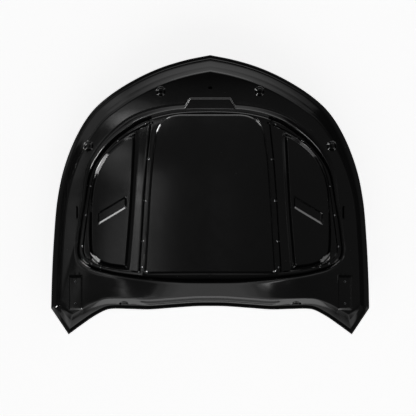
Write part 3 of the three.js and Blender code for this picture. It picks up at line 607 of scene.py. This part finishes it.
select_faces(outer_skin, near_a_vent)
bpy.ops.mesh.subdivide(number_cuts=FINE_CUTS)
bpy.ops.object.mode_set(mode="OBJECT")
co = vertex_places(outer_skin)
inside = inside_polygon(np.abs(co[:, 0]), co[:, 1], vent_corners)
from_rear_edge = inside_polygon(np.abs(co[:, 0]), co[:, 1], vent_rear_edge)
low = co[:, 2] < crown(co[:, 0], co[:, 1]) + SKIN_ONLY
near = low & (inside > -VENT_MARGIN - VENT_ROUNDING)
co[near, 2] = crown(co[near, 0], co[near, 1])
vent_wall = step_between(inside[low], -VENT_ROUNDING, VENT_WALL)
vent_ramp = np.clip((from_rear_edge[low] + VENT_ROUNDING) / VENT_RAMP, 0, 1)
co[low, 2] += VENT_DEPTH * np.minimum(vent_wall, vent_ramp)
outer_skin.data.vertices.foreach_set("co", co.ravel())
turn_faces_up(outer_skin, False)
thicken(outer_skin, SKIN_THICKNESS)
skin_primer = black_primer(
    "skin_primer", (0.0035, 0.0035, 0.0037), roughness=0.09, peel=0.000002, waviness=0.00004)
finish_piece(outer_skin, skin_primer, "skin_primer", "outer_skin")

# The inner frame: a second pressing glued into the hem, with a broad land round a sunk ledge. It
# has one large opening in the middle and one on each side, a shallow striker recess at the front,
# four dimples for rubber buffers, raised hinge seats, and a lowered strip along the rear edge.
RECESS_LINE = [
    [(0, 0.3194), (0.148, 0.3194), (0.24, 0.3158), (0.349, 0.3043), (0.445, 0.2864),
     (0.513, 0.2667)],
    [(0.513, 0.2667), (0.636, 0.2087), (0.724, 0.1439), (0.772, 0.0823), (0.798, -0.0286)],
    [(0.798, -0.0286), (0.817, -0.092), (0.831, -0.154), (0.838, -0.1933)],
    [(0.838, -0.1933), (0.829, -0.222), (0.802, -0.2417)],
    [(0.802, -0.2417), (0.7426, -0.2642), (0.661, -0.2778), (0.5815, -0.2875)],
    [(0.5815, -0.2875), (0.445, -0.2986), (0.308, -0.3065), (0.172, -0.3115), (0, -0.3126)],
]
FRAME_THICKNESS = 0.0012
LAND_HEIGHT = 0.034
PAN_HEIGHT = 0.009
CHAMFERS = [0.055, 0.055, 0.025, 0.025, 0.052, 0.031, 0.031]
WALLS = [0.024, 0.038, 0.007, 0.007, 0.007, 0.007, 0.014]
FLANGES = [0.010, 0.003, 0.002, 0.002, 0.002, 0.002, 0.002]
FLANGE_START = 0.010
FLANGE_DROP = SKIN_THICKNESS + 0.0009
STEP_SHARE = 0.5
STEP_RISE = 0.5
JOGGLE_SHARES = [0.9, 0.88, 0.78, 0.78, 0.88, 0.9, 0.9]
JOGGLE_RISES = [0.0028, 0.003, 0.003, 0.003, 0.0, -0.002, -0.002]
COWL_RECESS_WIDTH = 0.570
COWL_RECESS_SLANT = 0.060
COWL_STEP_SHARE = 0.3
COWL_STEP_RISE = 0.55
COWL_JOGGLE_SHARE = 0.62
COWL_JOGGLE_DROP = 0.0066
COWL_RIDGE = 0.014
COWL_RIDGE_DROP = 0.002
RIDGE_FADES_ACROSS = (0.14, 0.46)
RIDGE_STARTS_BEHIND = (0.2, 0.34)
BEAD_OUTSIDE = 0.010
BEAD_TOP = 0.005
BEAD_HEIGHT = 0.0014
KNEE_SHARE = 0.42
KNEE_DROPS = [0.004, 0.002, 0.001, 0.003, 0.009, 0.009, 0.009]
PAN_MIDDLE_SHARE = 0.93
PAN_INNER_SHARE = 0.40
BUFFER_PLACES = [(0.311, 0.3716), (0.766, 0.1755)]
FINE_PLACES = [(0.0, 0.60, 0.15), (0.265, 0.575, 0.04), (0.625, 0.30, 0.04)]

frame_u = station_positions(0.0112, 0.0050, FINE_PLACES)
frame_edge = both_halves(line_at(EDGE_LINE, EDGE_RUNS, frame_u))
frame_recess = both_halves(line_at(RECESS_LINE, [(0, 1, 2, 3, 4, 5)], frame_u))
frame_corners = station_corners(frame_u)


def round_frame(values):
    """Values at the matching places, spread over all the frame's stations."""
    return both_halves(np.interp(frame_u, PLACES, values))


def blend(plain, cowl, share):
    """A plain value that turns into the cowl's by a share."""
    return plain + (cowl - plain) * share


frame_depth = round_frame(EDGE_DEPTHS) - FLANGE_DROP
land_outer = inset(frame_edge, round_frame(CHAMFERS) + HEM_WIDTH, frame_corners)
recess_foot = inset(frame_recess, round_frame(WALLS))
flange_line = inset(frame_edge, HEM_WIDTH + round_frame(FLANGES), frame_corners)
from_cowl_end = COWL_RECESS_WIDTH / 2 + COWL_RECESS_SLANT - np.abs(flange_line[:, 0])
in_cowl = np.where(flange_line[:, 1] > 0, 0, np.clip(from_cowl_end / COWL_RECESS_SLANT, 0, 1))
step_share = blend(STEP_SHARE, COWL_STEP_SHARE, in_cowl)[:, None]
step_line = flange_line + (land_outer - flange_line) * step_share
step_rise = blend(STEP_RISE, COWL_STEP_RISE, in_cowl)
step_height = frame_depth + (LAND_HEIGHT - frame_depth) * step_rise
joggle_share = blend(round_frame(JOGGLE_SHARES), COWL_JOGGLE_SHARE, in_cowl)[:, None]
joggle_line = flange_line + (land_outer - flange_line) * joggle_share
joggle_height = blend(
    LAND_HEIGHT + round_frame(JOGGLE_RISES), LAND_HEIGHT - COWL_JOGGLE_DROP, in_cowl)
recess_x, recess_y = np.abs(frame_recess[:, 0]), frame_recess[:, 1]
ridge = COWL_RIDGE * (1 - step_between(recess_x, *RIDGE_FADES_ACROSS)) - COWL_RIDGE_DROP
ridge = np.where(recess_y > 0, 0, ridge * step_between(-recess_y, *RIDGE_STARTS_BEHIND))
ridge_height = LAND_HEIGHT + ridge
frame_controls = [
    ring(inset(frame_edge, FLANGE_START, frame_corners), frame_depth),
    ring(flange_line, frame_depth),
    ring(step_line, step_height),
    ring(joggle_line, joggle_height),
    ring(land_outer, LAND_HEIGHT),
    ring(inset(frame_recess, -BEAD_OUTSIDE), ridge_height),
    ring(inset(frame_recess, -BEAD_TOP), ridge_height + BEAD_HEIGHT),
    ring(frame_recess, ridge_height),
    ring(inset(frame_recess, round_frame(WALLS) * KNEE_SHARE),
         ridge_height - round_frame(KNEE_DROPS)),
    ring(recess_foot, PAN_HEIGHT),
    ring(recess_foot * PAN_MIDDLE_SHARE, PAN_HEIGHT),
    ring(recess_foot * PAN_INNER_SHARE, PAN_HEIGHT),
]
frame_rings = rounded_rings(
    frame_controls,
    radii=[0, 0.003, 0.003, 0.0015, 0.003, 0.002, 0.0015, 0.002, 0.004, 0.004, 0.002, 0],
    spans=[1, 1, 1, 1, 13, 1, 1, 1, 2, 1, 3],
    bend_steps=[0, 1, 2, 1, 2, 1, 1, 2, 3, 3, 1, 0])
inner_frame = wrapped_sheet("inner_frame_pressing", on_crown(frame_rings))
turn_faces_up(inner_frame, True)

LATCH_FRONT = 0.3491 * LENGTH
LATCH_REAR = LATCH_FRONT - 0.044
LATCH_TOP = 0.0945
LATCH_BOTTOM = 0.121
LATCH_RUN_ON = (0.018, 0.03)
LATCH_DEPTH = 0.006
LATCH_WALL = 0.0072
latch_corners = [
    (-LATCH_TOP, LATCH_FRONT), (LATCH_TOP, LATCH_FRONT),
    (LATCH_BOTTOM + LATCH_RUN_ON[0], LATCH_REAR - LATCH_RUN_ON[1]),
    (-LATCH_BOTTOM - LATCH_RUN_ON[0], LATCH_REAR - LATCH_RUN_ON[1])]
BUFFER_RADIUS = 0.023
BUFFER_FLOOR_SHARE = 0.58
BUFFER_DEPTH = 0.009
HINGE_PLACE = (0.848 * HALF_WIDTH, -0.35 * LENGTH)
HINGE_SEAT_HALF = (0.024, 0.071)
HINGE_SEAT_WALL = 0.008
HINGE_SEAT_RAISE = 0.0035
JET_POCKET_PLACE = (0.397, -0.520)
JET_POCKET_SIZE = (0.027, 0.031)
JET_POCKET_LEVEL = 0.0185
JET_POCKET_FLOOR_SHARE = 0.78
LATCH_FINE_BAND = (-0.0075, 0.014)
LATCH_FINE_MARGIN = 0.010
BUFFER_FINE_SHARE = 0.4
BUFFER_FINE_MARGIN = 0.004
HINGE_FINE_BAND = (-0.008, 0.015)
JET_FINE_SHARE = 1.1


def from_buffers(x, y):
    """Each point's distance from both kinds of buffer dimple."""
    return [np.hypot(np.abs(x) - share_x * HALF_WIDTH, y - share_y * LENGTH)
            for share_x, share_y in BUFFER_PLACES]


def from_hinge_seat(x, y):
    """How far outside the flat top of a hinge seat each point lies."""
    across = np.abs(np.abs(x) - HINGE_PLACE[0]) - HINGE_SEAT_HALF[0]
    along = np.abs(y - HINGE_PLACE[1]) - HINGE_SEAT_HALF[1]
    return np.maximum(across, along)


def from_jet_pocket(x, y):
    """Each point's distance from a jet pocket's middle, in shares of its size."""
    across = (np.abs(x) - JET_POCKET_PLACE[0]) / JET_POCKET_SIZE[0]
    along = (y - JET_POCKET_PLACE[1]) / JET_POCKET_SIZE[1]
    return across, along


def within(values, band):
    """Which values lie in a band."""
    return (values > band[0]) & (values < band[1])


def near_a_detail(middles):
    """The faces on the walls of the pressed details, which need a finer mesh."""
    x, y = middles[:, 0], middles[:, 1]
    near = within(inside_polygon(x, y, latch_corners), LATCH_FINE_BAND)
    near &= y > LATCH_REAR - LATCH_FINE_MARGIN
    buffer_band = (BUFFER_RADIUS * BUFFER_FINE_SHARE, BUFFER_RADIUS + BUFFER_FINE_MARGIN)
    for reach in from_buffers(x, y):
        near |= within(reach, buffer_band)
    near |= within(from_hinge_seat(x, y), HINGE_FINE_BAND)
    across, along = from_jet_pocket(x, y)
    return near | (np.maximum(np.abs(across), along) < JET_FINE_SHARE)


select_faces(inner_frame, near_a_detail)
bpy.ops.mesh.subdivide(number_cuts=FINE_CUTS)
bpy.ops.object.mode_set(mode="OBJECT")
co = vertex_places(inner_frame)
fx, fy = co[:, 0], co[:, 1]
fh = co[:, 2] - crown(fx, fy)
latch_inside = inside_polygon(fx, fy, latch_corners)
latch_floor = LAND_HEIGHT - LATCH_DEPTH * step_between(latch_inside, 0.0, LATCH_WALL)
fh = np.where(latch_inside > 0, np.minimum(fh, latch_floor), fh)
for reach in from_buffers(fx, fy):
    wall = step_between(reach, BUFFER_RADIUS * BUFFER_FLOOR_SHARE, BUFFER_RADIUS)
    fh -= BUFFER_DEPTH * (1 - wall)
fh += HINGE_SEAT_RAISE * (1 - step_between(from_hinge_seat(fx, fy), 0.0, HINGE_SEAT_WALL))
jet_reach = np.hypot(*from_jet_pocket(fx, fy))
in_jet_pocket = 1 - step_between(jet_reach, JET_POCKET_FLOOR_SHARE, 1.0)
fh += (np.minimum(fh, JET_POCKET_LEVEL) - fh) * in_jet_pocket
co[:, 2] = fh + crown(fx, fy)
inner_frame.data.vertices.foreach_set("co", co.ravel())

# The middle opening's outline follows the strap's edge on both sides.
STRAP_LINE = [(0.335, 0.254), (0.356, 0.147), (0.377, 0), (0.39, -0.125), (0.405, -0.256)]
WINDOW_FRONT = 0.2853 * LENGTH
WINDOW_REAR = -0.2765 * LENGTH
WINDOW_CORNER = 0.118
WINDOW_REAR_CORNER = 0.018
WINDOW_SPLAY = 0.006
WINDOW_REAR_SPLAY = 0.001


def quadratic(a, b, c, count):
    """A curve from a to c that leaves and arrives pointing at b."""
    t = np.linspace(0, 1, count)[:, None]
    a, b, c = (np.array(p) for p in (a, b, c))
    return a * (1 - t) ** 2 + 2 * b * t * (1 - t) + c * t ** 2


strap = [np.array(p) * (HALF_WIDTH, LENGTH) for p in STRAP_LINE]
front_x, rear_x = strap[0][0], strap[4][0]
strap_side, _ = smooth_line(
    [(front_x + WINDOW_SPLAY, WINDOW_FRONT - WINDOW_CORNER), *strap[1:4],
     (rear_x, WINDOW_REAR + WINDOW_REAR_CORNER)],
    before=(front_x + WINDOW_SPLAY, WINDOW_FRONT), after=strap[4], per_span=12)
front_corner = quadratic(
    (front_x - WINDOW_CORNER, WINDOW_FRONT), (front_x, WINDOW_FRONT),
    (front_x + WINDOW_SPLAY, WINDOW_FRONT - WINDOW_CORNER), 22)
rear_corner = quadratic(
    strap_side[-1], (rear_x + WINDOW_REAR_SPLAY, WINDOW_REAR),
    (rear_x - WINDOW_REAR_CORNER, WINDOW_REAR), 8)
window_line = both_halves(np.concatenate([
    [(0, WINDOW_FRONT)], front_corner[:-1], strap_side[:-1], rear_corner, [(0, WINDOW_REAR)]]))


def punch(sheet, lines, low=-0.05, high=0.2):
    """Punches openings with these outlines through a sheet, before it has its thickness."""
    bpy.ops.object.select_all(action="DESELECT")
    sheet.data.materials.append(bpy.data.materials.new("uncut_sheet"))
    die_steel = bpy.data.materials.new("die_steel")
    for line in lines:
        bpy.ops.mesh.primitive_circle_add(vertices=len(line), fill_type="NOTHING")
        die = bpy.context.object
        flat = np.column_stack([line, np.full(len(line), low)])
        die.data.vertices.foreach_set("co", flat.ravel())
        die.location = (0, 0, 0)
        bpy.ops.object.mode_set(mode="EDIT")
        bpy.ops.mesh.select_mode(type="EDGE")
        bpy.ops.mesh.select_all(action="SELECT")
        bpy.ops.mesh.extrude_region_move(TRANSFORM_OT_translate={"value": (0, 0, high - low)})
        bpy.ops.object.mode_set(mode="OBJECT")
        die.data.materials.append(die_steel)
        sheet.select_set(True)
        bpy.context.view_layer.objects.active = sheet
        bpy.ops.object.join()
        bpy.ops.object.select_all(action="DESELECT")
    bpy.ops.object.mode_set(mode="EDIT")
    bpy.ops.mesh.select_mode(type="FACE")
    bpy.ops.mesh.select_all(action="DESELECT")
    bpy.ops.object.mode_set(mode="OBJECT")
    for face in sheet.data.polygons:
        face.select = face.material_index == 1
    bpy.ops.object.mode_set(mode="EDIT")
    bpy.ops.mesh.intersect(mode="SELECT_UNSELECT", separate_mode="ALL", solver="EXACT")
    bpy.ops.object.mode_set(mode="OBJECT")
    dies = np.zeros(len(sheet.data.polygons), int)
    sheet.data.polygons.foreach_get("material_index", dies)

    def waste(middles):
        gone = dies == 1
        x, y = middles[:, 0], middles[:, 1]
        for line in lines:
            (ax, ay), (bx, by) = line.T, np.roll(line, -1, axis=0).T
            crossed = np.zeros(len(x), int)
            for x1, y1, x2, y2 in zip(ax, ay, bx, by):
                if y1 != y2:
                    spans = (y1 > y) != (y2 > y)
                    crossed += spans & (x < (x2 - x1) * (y - y1) / (y2 - y1) + x1)
            gone |= crossed % 2 == 1
        return gone

    select_faces(sheet, waste)
    bpy.ops.mesh.delete(type="FACE")
    bpy.ops.mesh.select_all(action="SELECT")
    bpy.ops.mesh.remove_doubles(threshold=2 * MERGE_DISTANCE)
    bpy.ops.object.mode_set(mode="OBJECT")


def circle(x, y, radius, count):
    """Points round a circle."""
    angles = np.arange(count) / count * 2 * pi
    return np.column_stack([x + radius * np.cos(angles), y + radius * np.sin(angles)])


# The side panels' own lines are worked out here, because the frame's side openings follow them.
POCKET_LINE = [
    [(0.475, 0.22), (0.529, 0.204), (0.5815, 0.184)],
    [(0.5815, 0.184), (0.649, 0.1486), (0.69, 0.1117), (0.714, 0.0752)],
    [(0.714, 0.0752), (0.736, 0.025), (0.745, -0.0286), (0.745, -0.1826)],
    [(0.745, -0.1826), (0.736, -0.215), (0.711, -0.2345)],
    [(0.711, -0.2345), (0.6545, -0.25), (0.53, -0.2614)],
    [(0.53, -0.2614), (0.506, -0.092), (0.49, 0.0537), (0.475, 0.22)],
]
STRAP_SHOW = 0.017
SEAT_CLEARANCE = 0.006
FRONT_END_RISE = 0.001
REAR_END_DROP = 0.0005
OPENING_SHARE = 0.46
OPENING_INSET = 0.013
pocket_u = np.concatenate([
    np.arange(s, s + 1, 1 / n) for s, n in enumerate([16, 24, 30, 16, 20, 60])])
pocket = line_at(POCKET_LINE, [(0, 1, 2, 3, 4), (5,)], pocket_u, mirrored_ends=False)
seat = inset(recess_foot, SEAT_CLEARANCE)[:len(frame_u)]
strap_curve, _ = smooth_line(
    [p + (STRAP_SHOW, 0) for p in strap], strap[0] * 2 - strap[1] + (STRAP_SHOW, 0),
    strap[4] * 2 - strap[3] + (STRAP_SHOW, 0))


def strap_x(y):
    """Where the strap's foot runs at each place along the bonnet."""
    return np.interp(y, strap_curve[::-1, 1], strap_curve[::-1, 0])


run = [p for p in seat if p[0] > strap_x(p[1])]
front_y, rear_y = run[0][1], run[-1][1]
front_end = np.array([strap_x(front_y + 2 * FRONT_END_RISE), front_y + FRONT_END_RISE])
rear_end = np.array([strap_x(rear_y), rear_y - REAR_END_DROP])
outer = np.array([front_end, *run, rear_end])
outer_along = shares_along(outer)
outer_count = int(np.sum(pocket_u < len(POCKET_LINE) - 1)) + 1
pocket_along = shares_along(pocket[:outer_count])
outer_run = np.column_stack([np.interp(pocket_along, outer_along, outer[:, k]) for k in (0, 1)])
strap_count = len(pocket) - outer_count
strap_y = np.linspace(rear_end[1], front_end[1], strap_count + 2)[1:-1]
panel_edge = np.concatenate([outer_run, np.column_stack([strap_x(strap_y), strap_y])])


def room_between(line, other):
    """How far each point of one line is from the other line."""
    a, b = other, np.roll(other, -1, axis=0)
    ab = b - a
    t = np.einsum("ijk,jk->ij", line[:, None] - a[None], ab) / (ab ** 2).sum(1)
    nearest = a[None] + np.clip(t, 0, 1)[..., None] * ab[None]
    return np.linalg.norm(line[:, None] - nearest, axis=2).min(1)


def towards_pocket(width, most):
    """The panel's edge moved towards its pocket, by most of the room at the widest."""
    return inset(panel_edge, np.minimum(width, most * room_between(panel_edge, pocket)))


def from_pocket(width, most):
    """The pocket's line moved towards the panel's edge, in the same way."""
    return inset(pocket, -np.minimum(width, most * room_between(pocket, panel_edge)))


SLOT_PLACE = (0.842 * HALF_WIDTH, -0.062 * LENGTH)
SLOT_HALF_LENGTH = 0.0225
SLOT_END_RADIUS = 0.0065
SLOT_POINTS = 32
JET_SLOT_PLACE = (0.568 * HALF_WIDTH, -0.390 * LENGTH)
JET_SLOT_RADIUS = 0.0055
TOOLING_HOLE_Y = 0.383 * LENGTH
TOOLING_HOLE_RADIUS = 0.004
BUFFER_HOLE_RADIUS = 0.0065
HINGE_BOLT_REACH = 0.05
HINGE_BOLT_RADIUS = 0.0055
HOLE_POINTS = 24
SMALL_HOLE_POINTS = 20
WINDOW_CUT = 0.0095
LIP_STEPS = [(-0.0110, -0.0003), (-WINDOW_CUT, 0.0002), (-0.0060, 0.0024),
             (-0.0005, -0.0010), (0.0015, -0.0045)]
slot_angles = np.linspace(0, 2 * pi, SLOT_POINTS + 1)[:-1]
slot_ends = np.sign(np.sin(slot_angles + 0.01)) * SLOT_HALF_LENGTH
slot_line = circle(*SLOT_PLACE, SLOT_END_RADIUS, SLOT_POINTS)
slot_line[:, 1] += slot_ends
side_opening = towards_pocket(OPENING_INSET, most=OPENING_SHARE)
tooling_hole = circle(0, TOOLING_HOLE_Y, TOOLING_HOLE_RADIUS, SMALL_HOLE_POINTS)
openings = [inset(window_line, -WINDOW_CUT), tooling_hole]
for side in (1, -1):
    openings.append(side_opening * (side, 1))
    openings.append(slot_line * (side, 1))
    x, y = side * JET_SLOT_PLACE[0], JET_SLOT_PLACE[1]
    openings.append(circle(x, y, JET_SLOT_RADIUS, SMALL_HOLE_POINTS))
    for share_x, share_y in BUFFER_PLACES:
        x, y = side * share_x * HALF_WIDTH, share_y * LENGTH
        openings.append(circle(x, y, BUFFER_HOLE_RADIUS, HOLE_POINTS))
    for end in (1, -1):
        x, y = side * HINGE_PLACE[0], HINGE_PLACE[1] + end * HINGE_BOLT_REACH
        openings.append(circle(x, y, HINGE_BOLT_RADIUS, HOLE_POINTS))
punch(inner_frame, openings)
lip_controls = [
    ring(inset(window_line, inwards), PAN_HEIGHT + rise) for inwards, rise in LIP_STEPS]
lip_rings = rounded_rings(
    lip_controls, radii=[0, 0.0008, 0.0012, 0.0015, 0], spans=[1, 1, 2, 1])
window_lip = wrapped_sheet("window_lip", on_crown(lip_rings))
turn_faces_up(window_lip, True)
bpy.ops.object.select_all(action="DESELECT")
window_lip.select_set(True)
inner_frame.select_set(True)
bpy.context.view_layer.objects.active = inner_frame
bpy.ops.object.join()
thicken(inner_frame, FRAME_THICKNESS)
frame_primer = black_primer(
    "frame_primer", (0.003, 0.003, 0.0032), roughness=0.10, peel=0.000002, waviness=0.00012)
finish_piece(inner_frame, frame_primer, "frame_primer", "inner_frame")

# The side panels: each is one small pressing riveted into the frame's side opening. A raised
# strap runs beside the middle opening and goes on as a narrow rim round a pocket whose walls
# fall to the outer skin. They are black like the frame.
PANEL_THICKNESS = 0.0012
HAT_HEIGHT = 0.024
RIM_HEIGHT_OUTSIDE = 0.017
PANEL_FLANGE = 0.010
HAT_TOP_INSET = 0.016
HAT_SHOULDER = 0.012
HAT_SHOULDER_DROP = 0.0010
HAT_KNEE = 0.003
RIM_KNEE = 0.012
KNEE_DROP = 0.0022
POCKET_FOOT = 0.007
SEAT_GAP = 0.0007
FOOT_GAP = 0.0005
towards_outside = step_between(panel_edge[:, 0] - pocket[:, 0], -0.02, 0.02)
hat_height = HAT_HEIGHT + (RIM_HEIGHT_OUTSIDE - HAT_HEIGHT) * towards_outside
knee = HAT_KNEE + (RIM_KNEE - HAT_KNEE) * towards_outside
panel_seat = PAN_HEIGHT + SEAT_GAP + PANEL_THICKNESS
foot_height = SKIN_THICKNESS + FOOT_GAP + PANEL_THICKNESS
panel_controls = [
    ring(panel_edge, panel_seat),
    ring(towards_pocket(PANEL_FLANGE, most=0.30), panel_seat),
    ring(towards_pocket(HAT_TOP_INSET, most=0.42), hat_height),
    ring(from_pocket(HAT_TOP_INSET, most=0.50), hat_height),
    ring(from_pocket(HAT_SHOULDER, most=0.40), hat_height - HAT_SHOULDER_DROP),
    ring(from_pocket(knee, most=0.25), hat_height - KNEE_DROP),
    ring(inset(pocket, POCKET_FOOT * (1 - towards_outside)), foot_height),
    ring(inset(pocket, POCKET_FOOT * (2 - towards_outside)), foot_height),
]
panel_rings = rounded_rings(
    panel_controls,
    radii=[0, 0.002, 0.003, 0.0015, 0.0015, 0.003, 0.003, 0],
    spans=[3, 3, 6, 2, 2, 4, 2])
panel_primer = black_primer(
    "panel_primer", (0.003, 0.003, 0.0032), roughness=0.07, peel=0.000002, waviness=0.00005)
for word, side in (("right", 1), ("left", -1)):
    rings = on_crown(panel_rings * (side, 1, 1))
    panel = wrapped_sheet(f"side_panel_pressing_{word}", rings)
    turn_faces_up(panel, True)
    thicken(panel, PANEL_THICKNESS)
    finish_piece(panel, panel_primer, "panel_primer", f"side_panel_{word}")

# The rivets: small domed steel heads, eleven on each side, set through the side panels' outer
# flanges into the frame's ledge. Their whole heads are painted a light grey, half metal colour,
# a painted highlight that stands in for the glints on their domes.
RIVETS_A_SIDE = 11
RIVET_RADIUS = 0.0040
RIVET_FLATNESS = 0.55
# Painted highlight: this light grey, half metal colour on every rivet head stands in for glints.
rivet_glint_paint = black_primer(
    "rivet_primer", (0.35, 0.35, 0.36), roughness=0.3, peel=0.00001, waviness=0.0)
rivet_glint_paint.node_tree.nodes["Principled BSDF"].inputs["Metallic"].default_value = 0.6
for word in ("right", "left"):
    for number in range(1, RIVETS_A_SIDE + 1):
        node = f"rivet_{word}_{number}"
        low, high = (Vector(p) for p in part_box(node))
        middle = (low + high) / 2
        flange_top = float(crown(middle.x, middle.y)) + panel_seat
        bpy.ops.mesh.primitive_uv_sphere_add(segments=16, ring_count=8, radius=RIVET_RADIUS)
        head = bpy.context.object
        head.name = f"rivet_head_{word}_{number}"
        tilt = crown_normal(middle.x, middle.y).to_track_quat("Z", "Y").to_matrix()
        for vertex in head.data.vertices:
            height = max(vertex.co.z, 0.0) * RIVET_FLATNESS
            domed = Vector((vertex.co.x, vertex.co.y, height))
            vertex.co = tilt @ domed + Vector((middle.x, middle.y, flange_top))
        bpy.ops.object.shade_smooth_by_angle(angle=radians(40))
        finish_piece(head, rivet_glint_paint, "rivet_primer", node)

# The reinforcements are thick steel plates behind the striker recess and the hinge seats, and the
# weld nuts on them take the bolts. Both pressings hide them, so their plain solids show as they
# are, the plates primed and the nuts zinc plated.
hidden_primer = black_primer(
    "hidden_primer", (0.012, 0.012, 0.012), roughness=0.45, peel=0.00002, waviness=0.0)
zinc_plate = black_primer(
    "zinc_plate", (0.42, 0.43, 0.45), roughness=0.35, peel=0.00001, waviness=0.0)
zinc_plate.node_tree.nodes["Principled BSDF"].inputs["Metallic"].default_value = 0.9
for solid in bpy.data.objects:
    if "reinforcement" in solid.name:
        solid.data.materials.clear()
        solid.data.materials.append(hidden_primer)
    elif "_nut_" in solid.name:
        solid.data.materials.clear()
        solid.data.materials.append(zinc_plate)

# The lamps, which only the paint mirrors. Three nested softboxes and a low one stand behind the
# rear edge, a small one lights the vents' rear edges, and one the chamfer on the left. The oval
# glows far above make the soft patches on the left side. One softbox stands at each corner.
GLOW_HEIGHT = 10.0
GLOW_HEIGHT_STEP = 0.03
GLOW_TARGET = (-0.4, 0.2, 0.0)
CORNER_HEIGHT = 1.6
CORNER_SIZE = (1.2, 1.2)
MIDDLE = (0.0, 0.0, 0.0)
# Name, place, target, width and length, radiance.
for softbox_values in (
        ("rear_softbox", (0.0, -1.2, 1.5), MIDDLE, (0.9, 1.2), 0.35),
        ("rear_softbox_middle", (0.0, -1.23, 1.46), MIDDLE, (0.7, 0.9), 0.3),
        ("rear_softbox_core", (0.0, -1.26, 1.42), MIDDLE, (0.5, 0.7), 0.25),
        ("rear_low_softbox", (0.0, -1.6, 0.68), (0.0, -0.4, 0.0), (1.5, 0.6), 2.0),
        ("vent_edge_light", (0.66, -1.61, 0.85), (-0.45, -0.12, 0.0), (0.3, 0.3), 8.0),
        ("left_chamfer_light", (1.5, -1.5, 3.0), (-0.5, 0.4, 0.0), (1.5, 1.5), 0.5)):
    softbox(*softbox_values)
# Name, x, y, width, length, radiance. Each stands a little higher than the last, because lamps in
# one plane hide one another.
for step, (name, x, y, width, length, radiance) in enumerate((
        ("pocket_glow", 1.15, -0.4, 0.8, 1.2, 0.5),
        ("pocket_top_glow", 1.08, -0.75, 0.8, 0.6, 0.35),
        ("middle_glow", 0.4, 0.1, 0.55, 0.4, 0.4),
        ("middle_core", 0.42, 0.09, 0.35, 0.24, 0.4),
        ("strap_star_halo", 0.72, 0.02, 0.35, 0.4, 0.5),
        ("strap_star", 0.7, 0.0, 0.16, 0.1, 4.0),
        ("side_land_glow", 2.5, -0.45, 1.1, 0.9, 0.45),
        ("land_glow", 0.95, -2.1, 1.4, 1.5, 0.5),
        ("land_patch", 1.0, -1.85, 0.8, 0.7, 1.8),
        ("land_core", 0.9, -1.72, 0.4, 0.3, 2.0))):
    place = (x, y, GLOW_HEIGHT + GLOW_HEIGHT_STEP * step)
    softbox(name, place, GLOW_TARGET, (width, length), radiance, "ELLIPSE")
for name, x, y, radiance in (("right_front", 2.6, 2.6, 30.0), ("right_rear", 3.2, -1.8, 30.0),
                             ("left_front", -2.6, 2.6, 9.0), ("left_rear", -2.6, -2.6, 6.0)):
    place = (x, y, CORNER_HEIGHT)
    softbox(f"{name}_corner_softbox", place, MIDDLE, CORNER_SIZE, radiance)
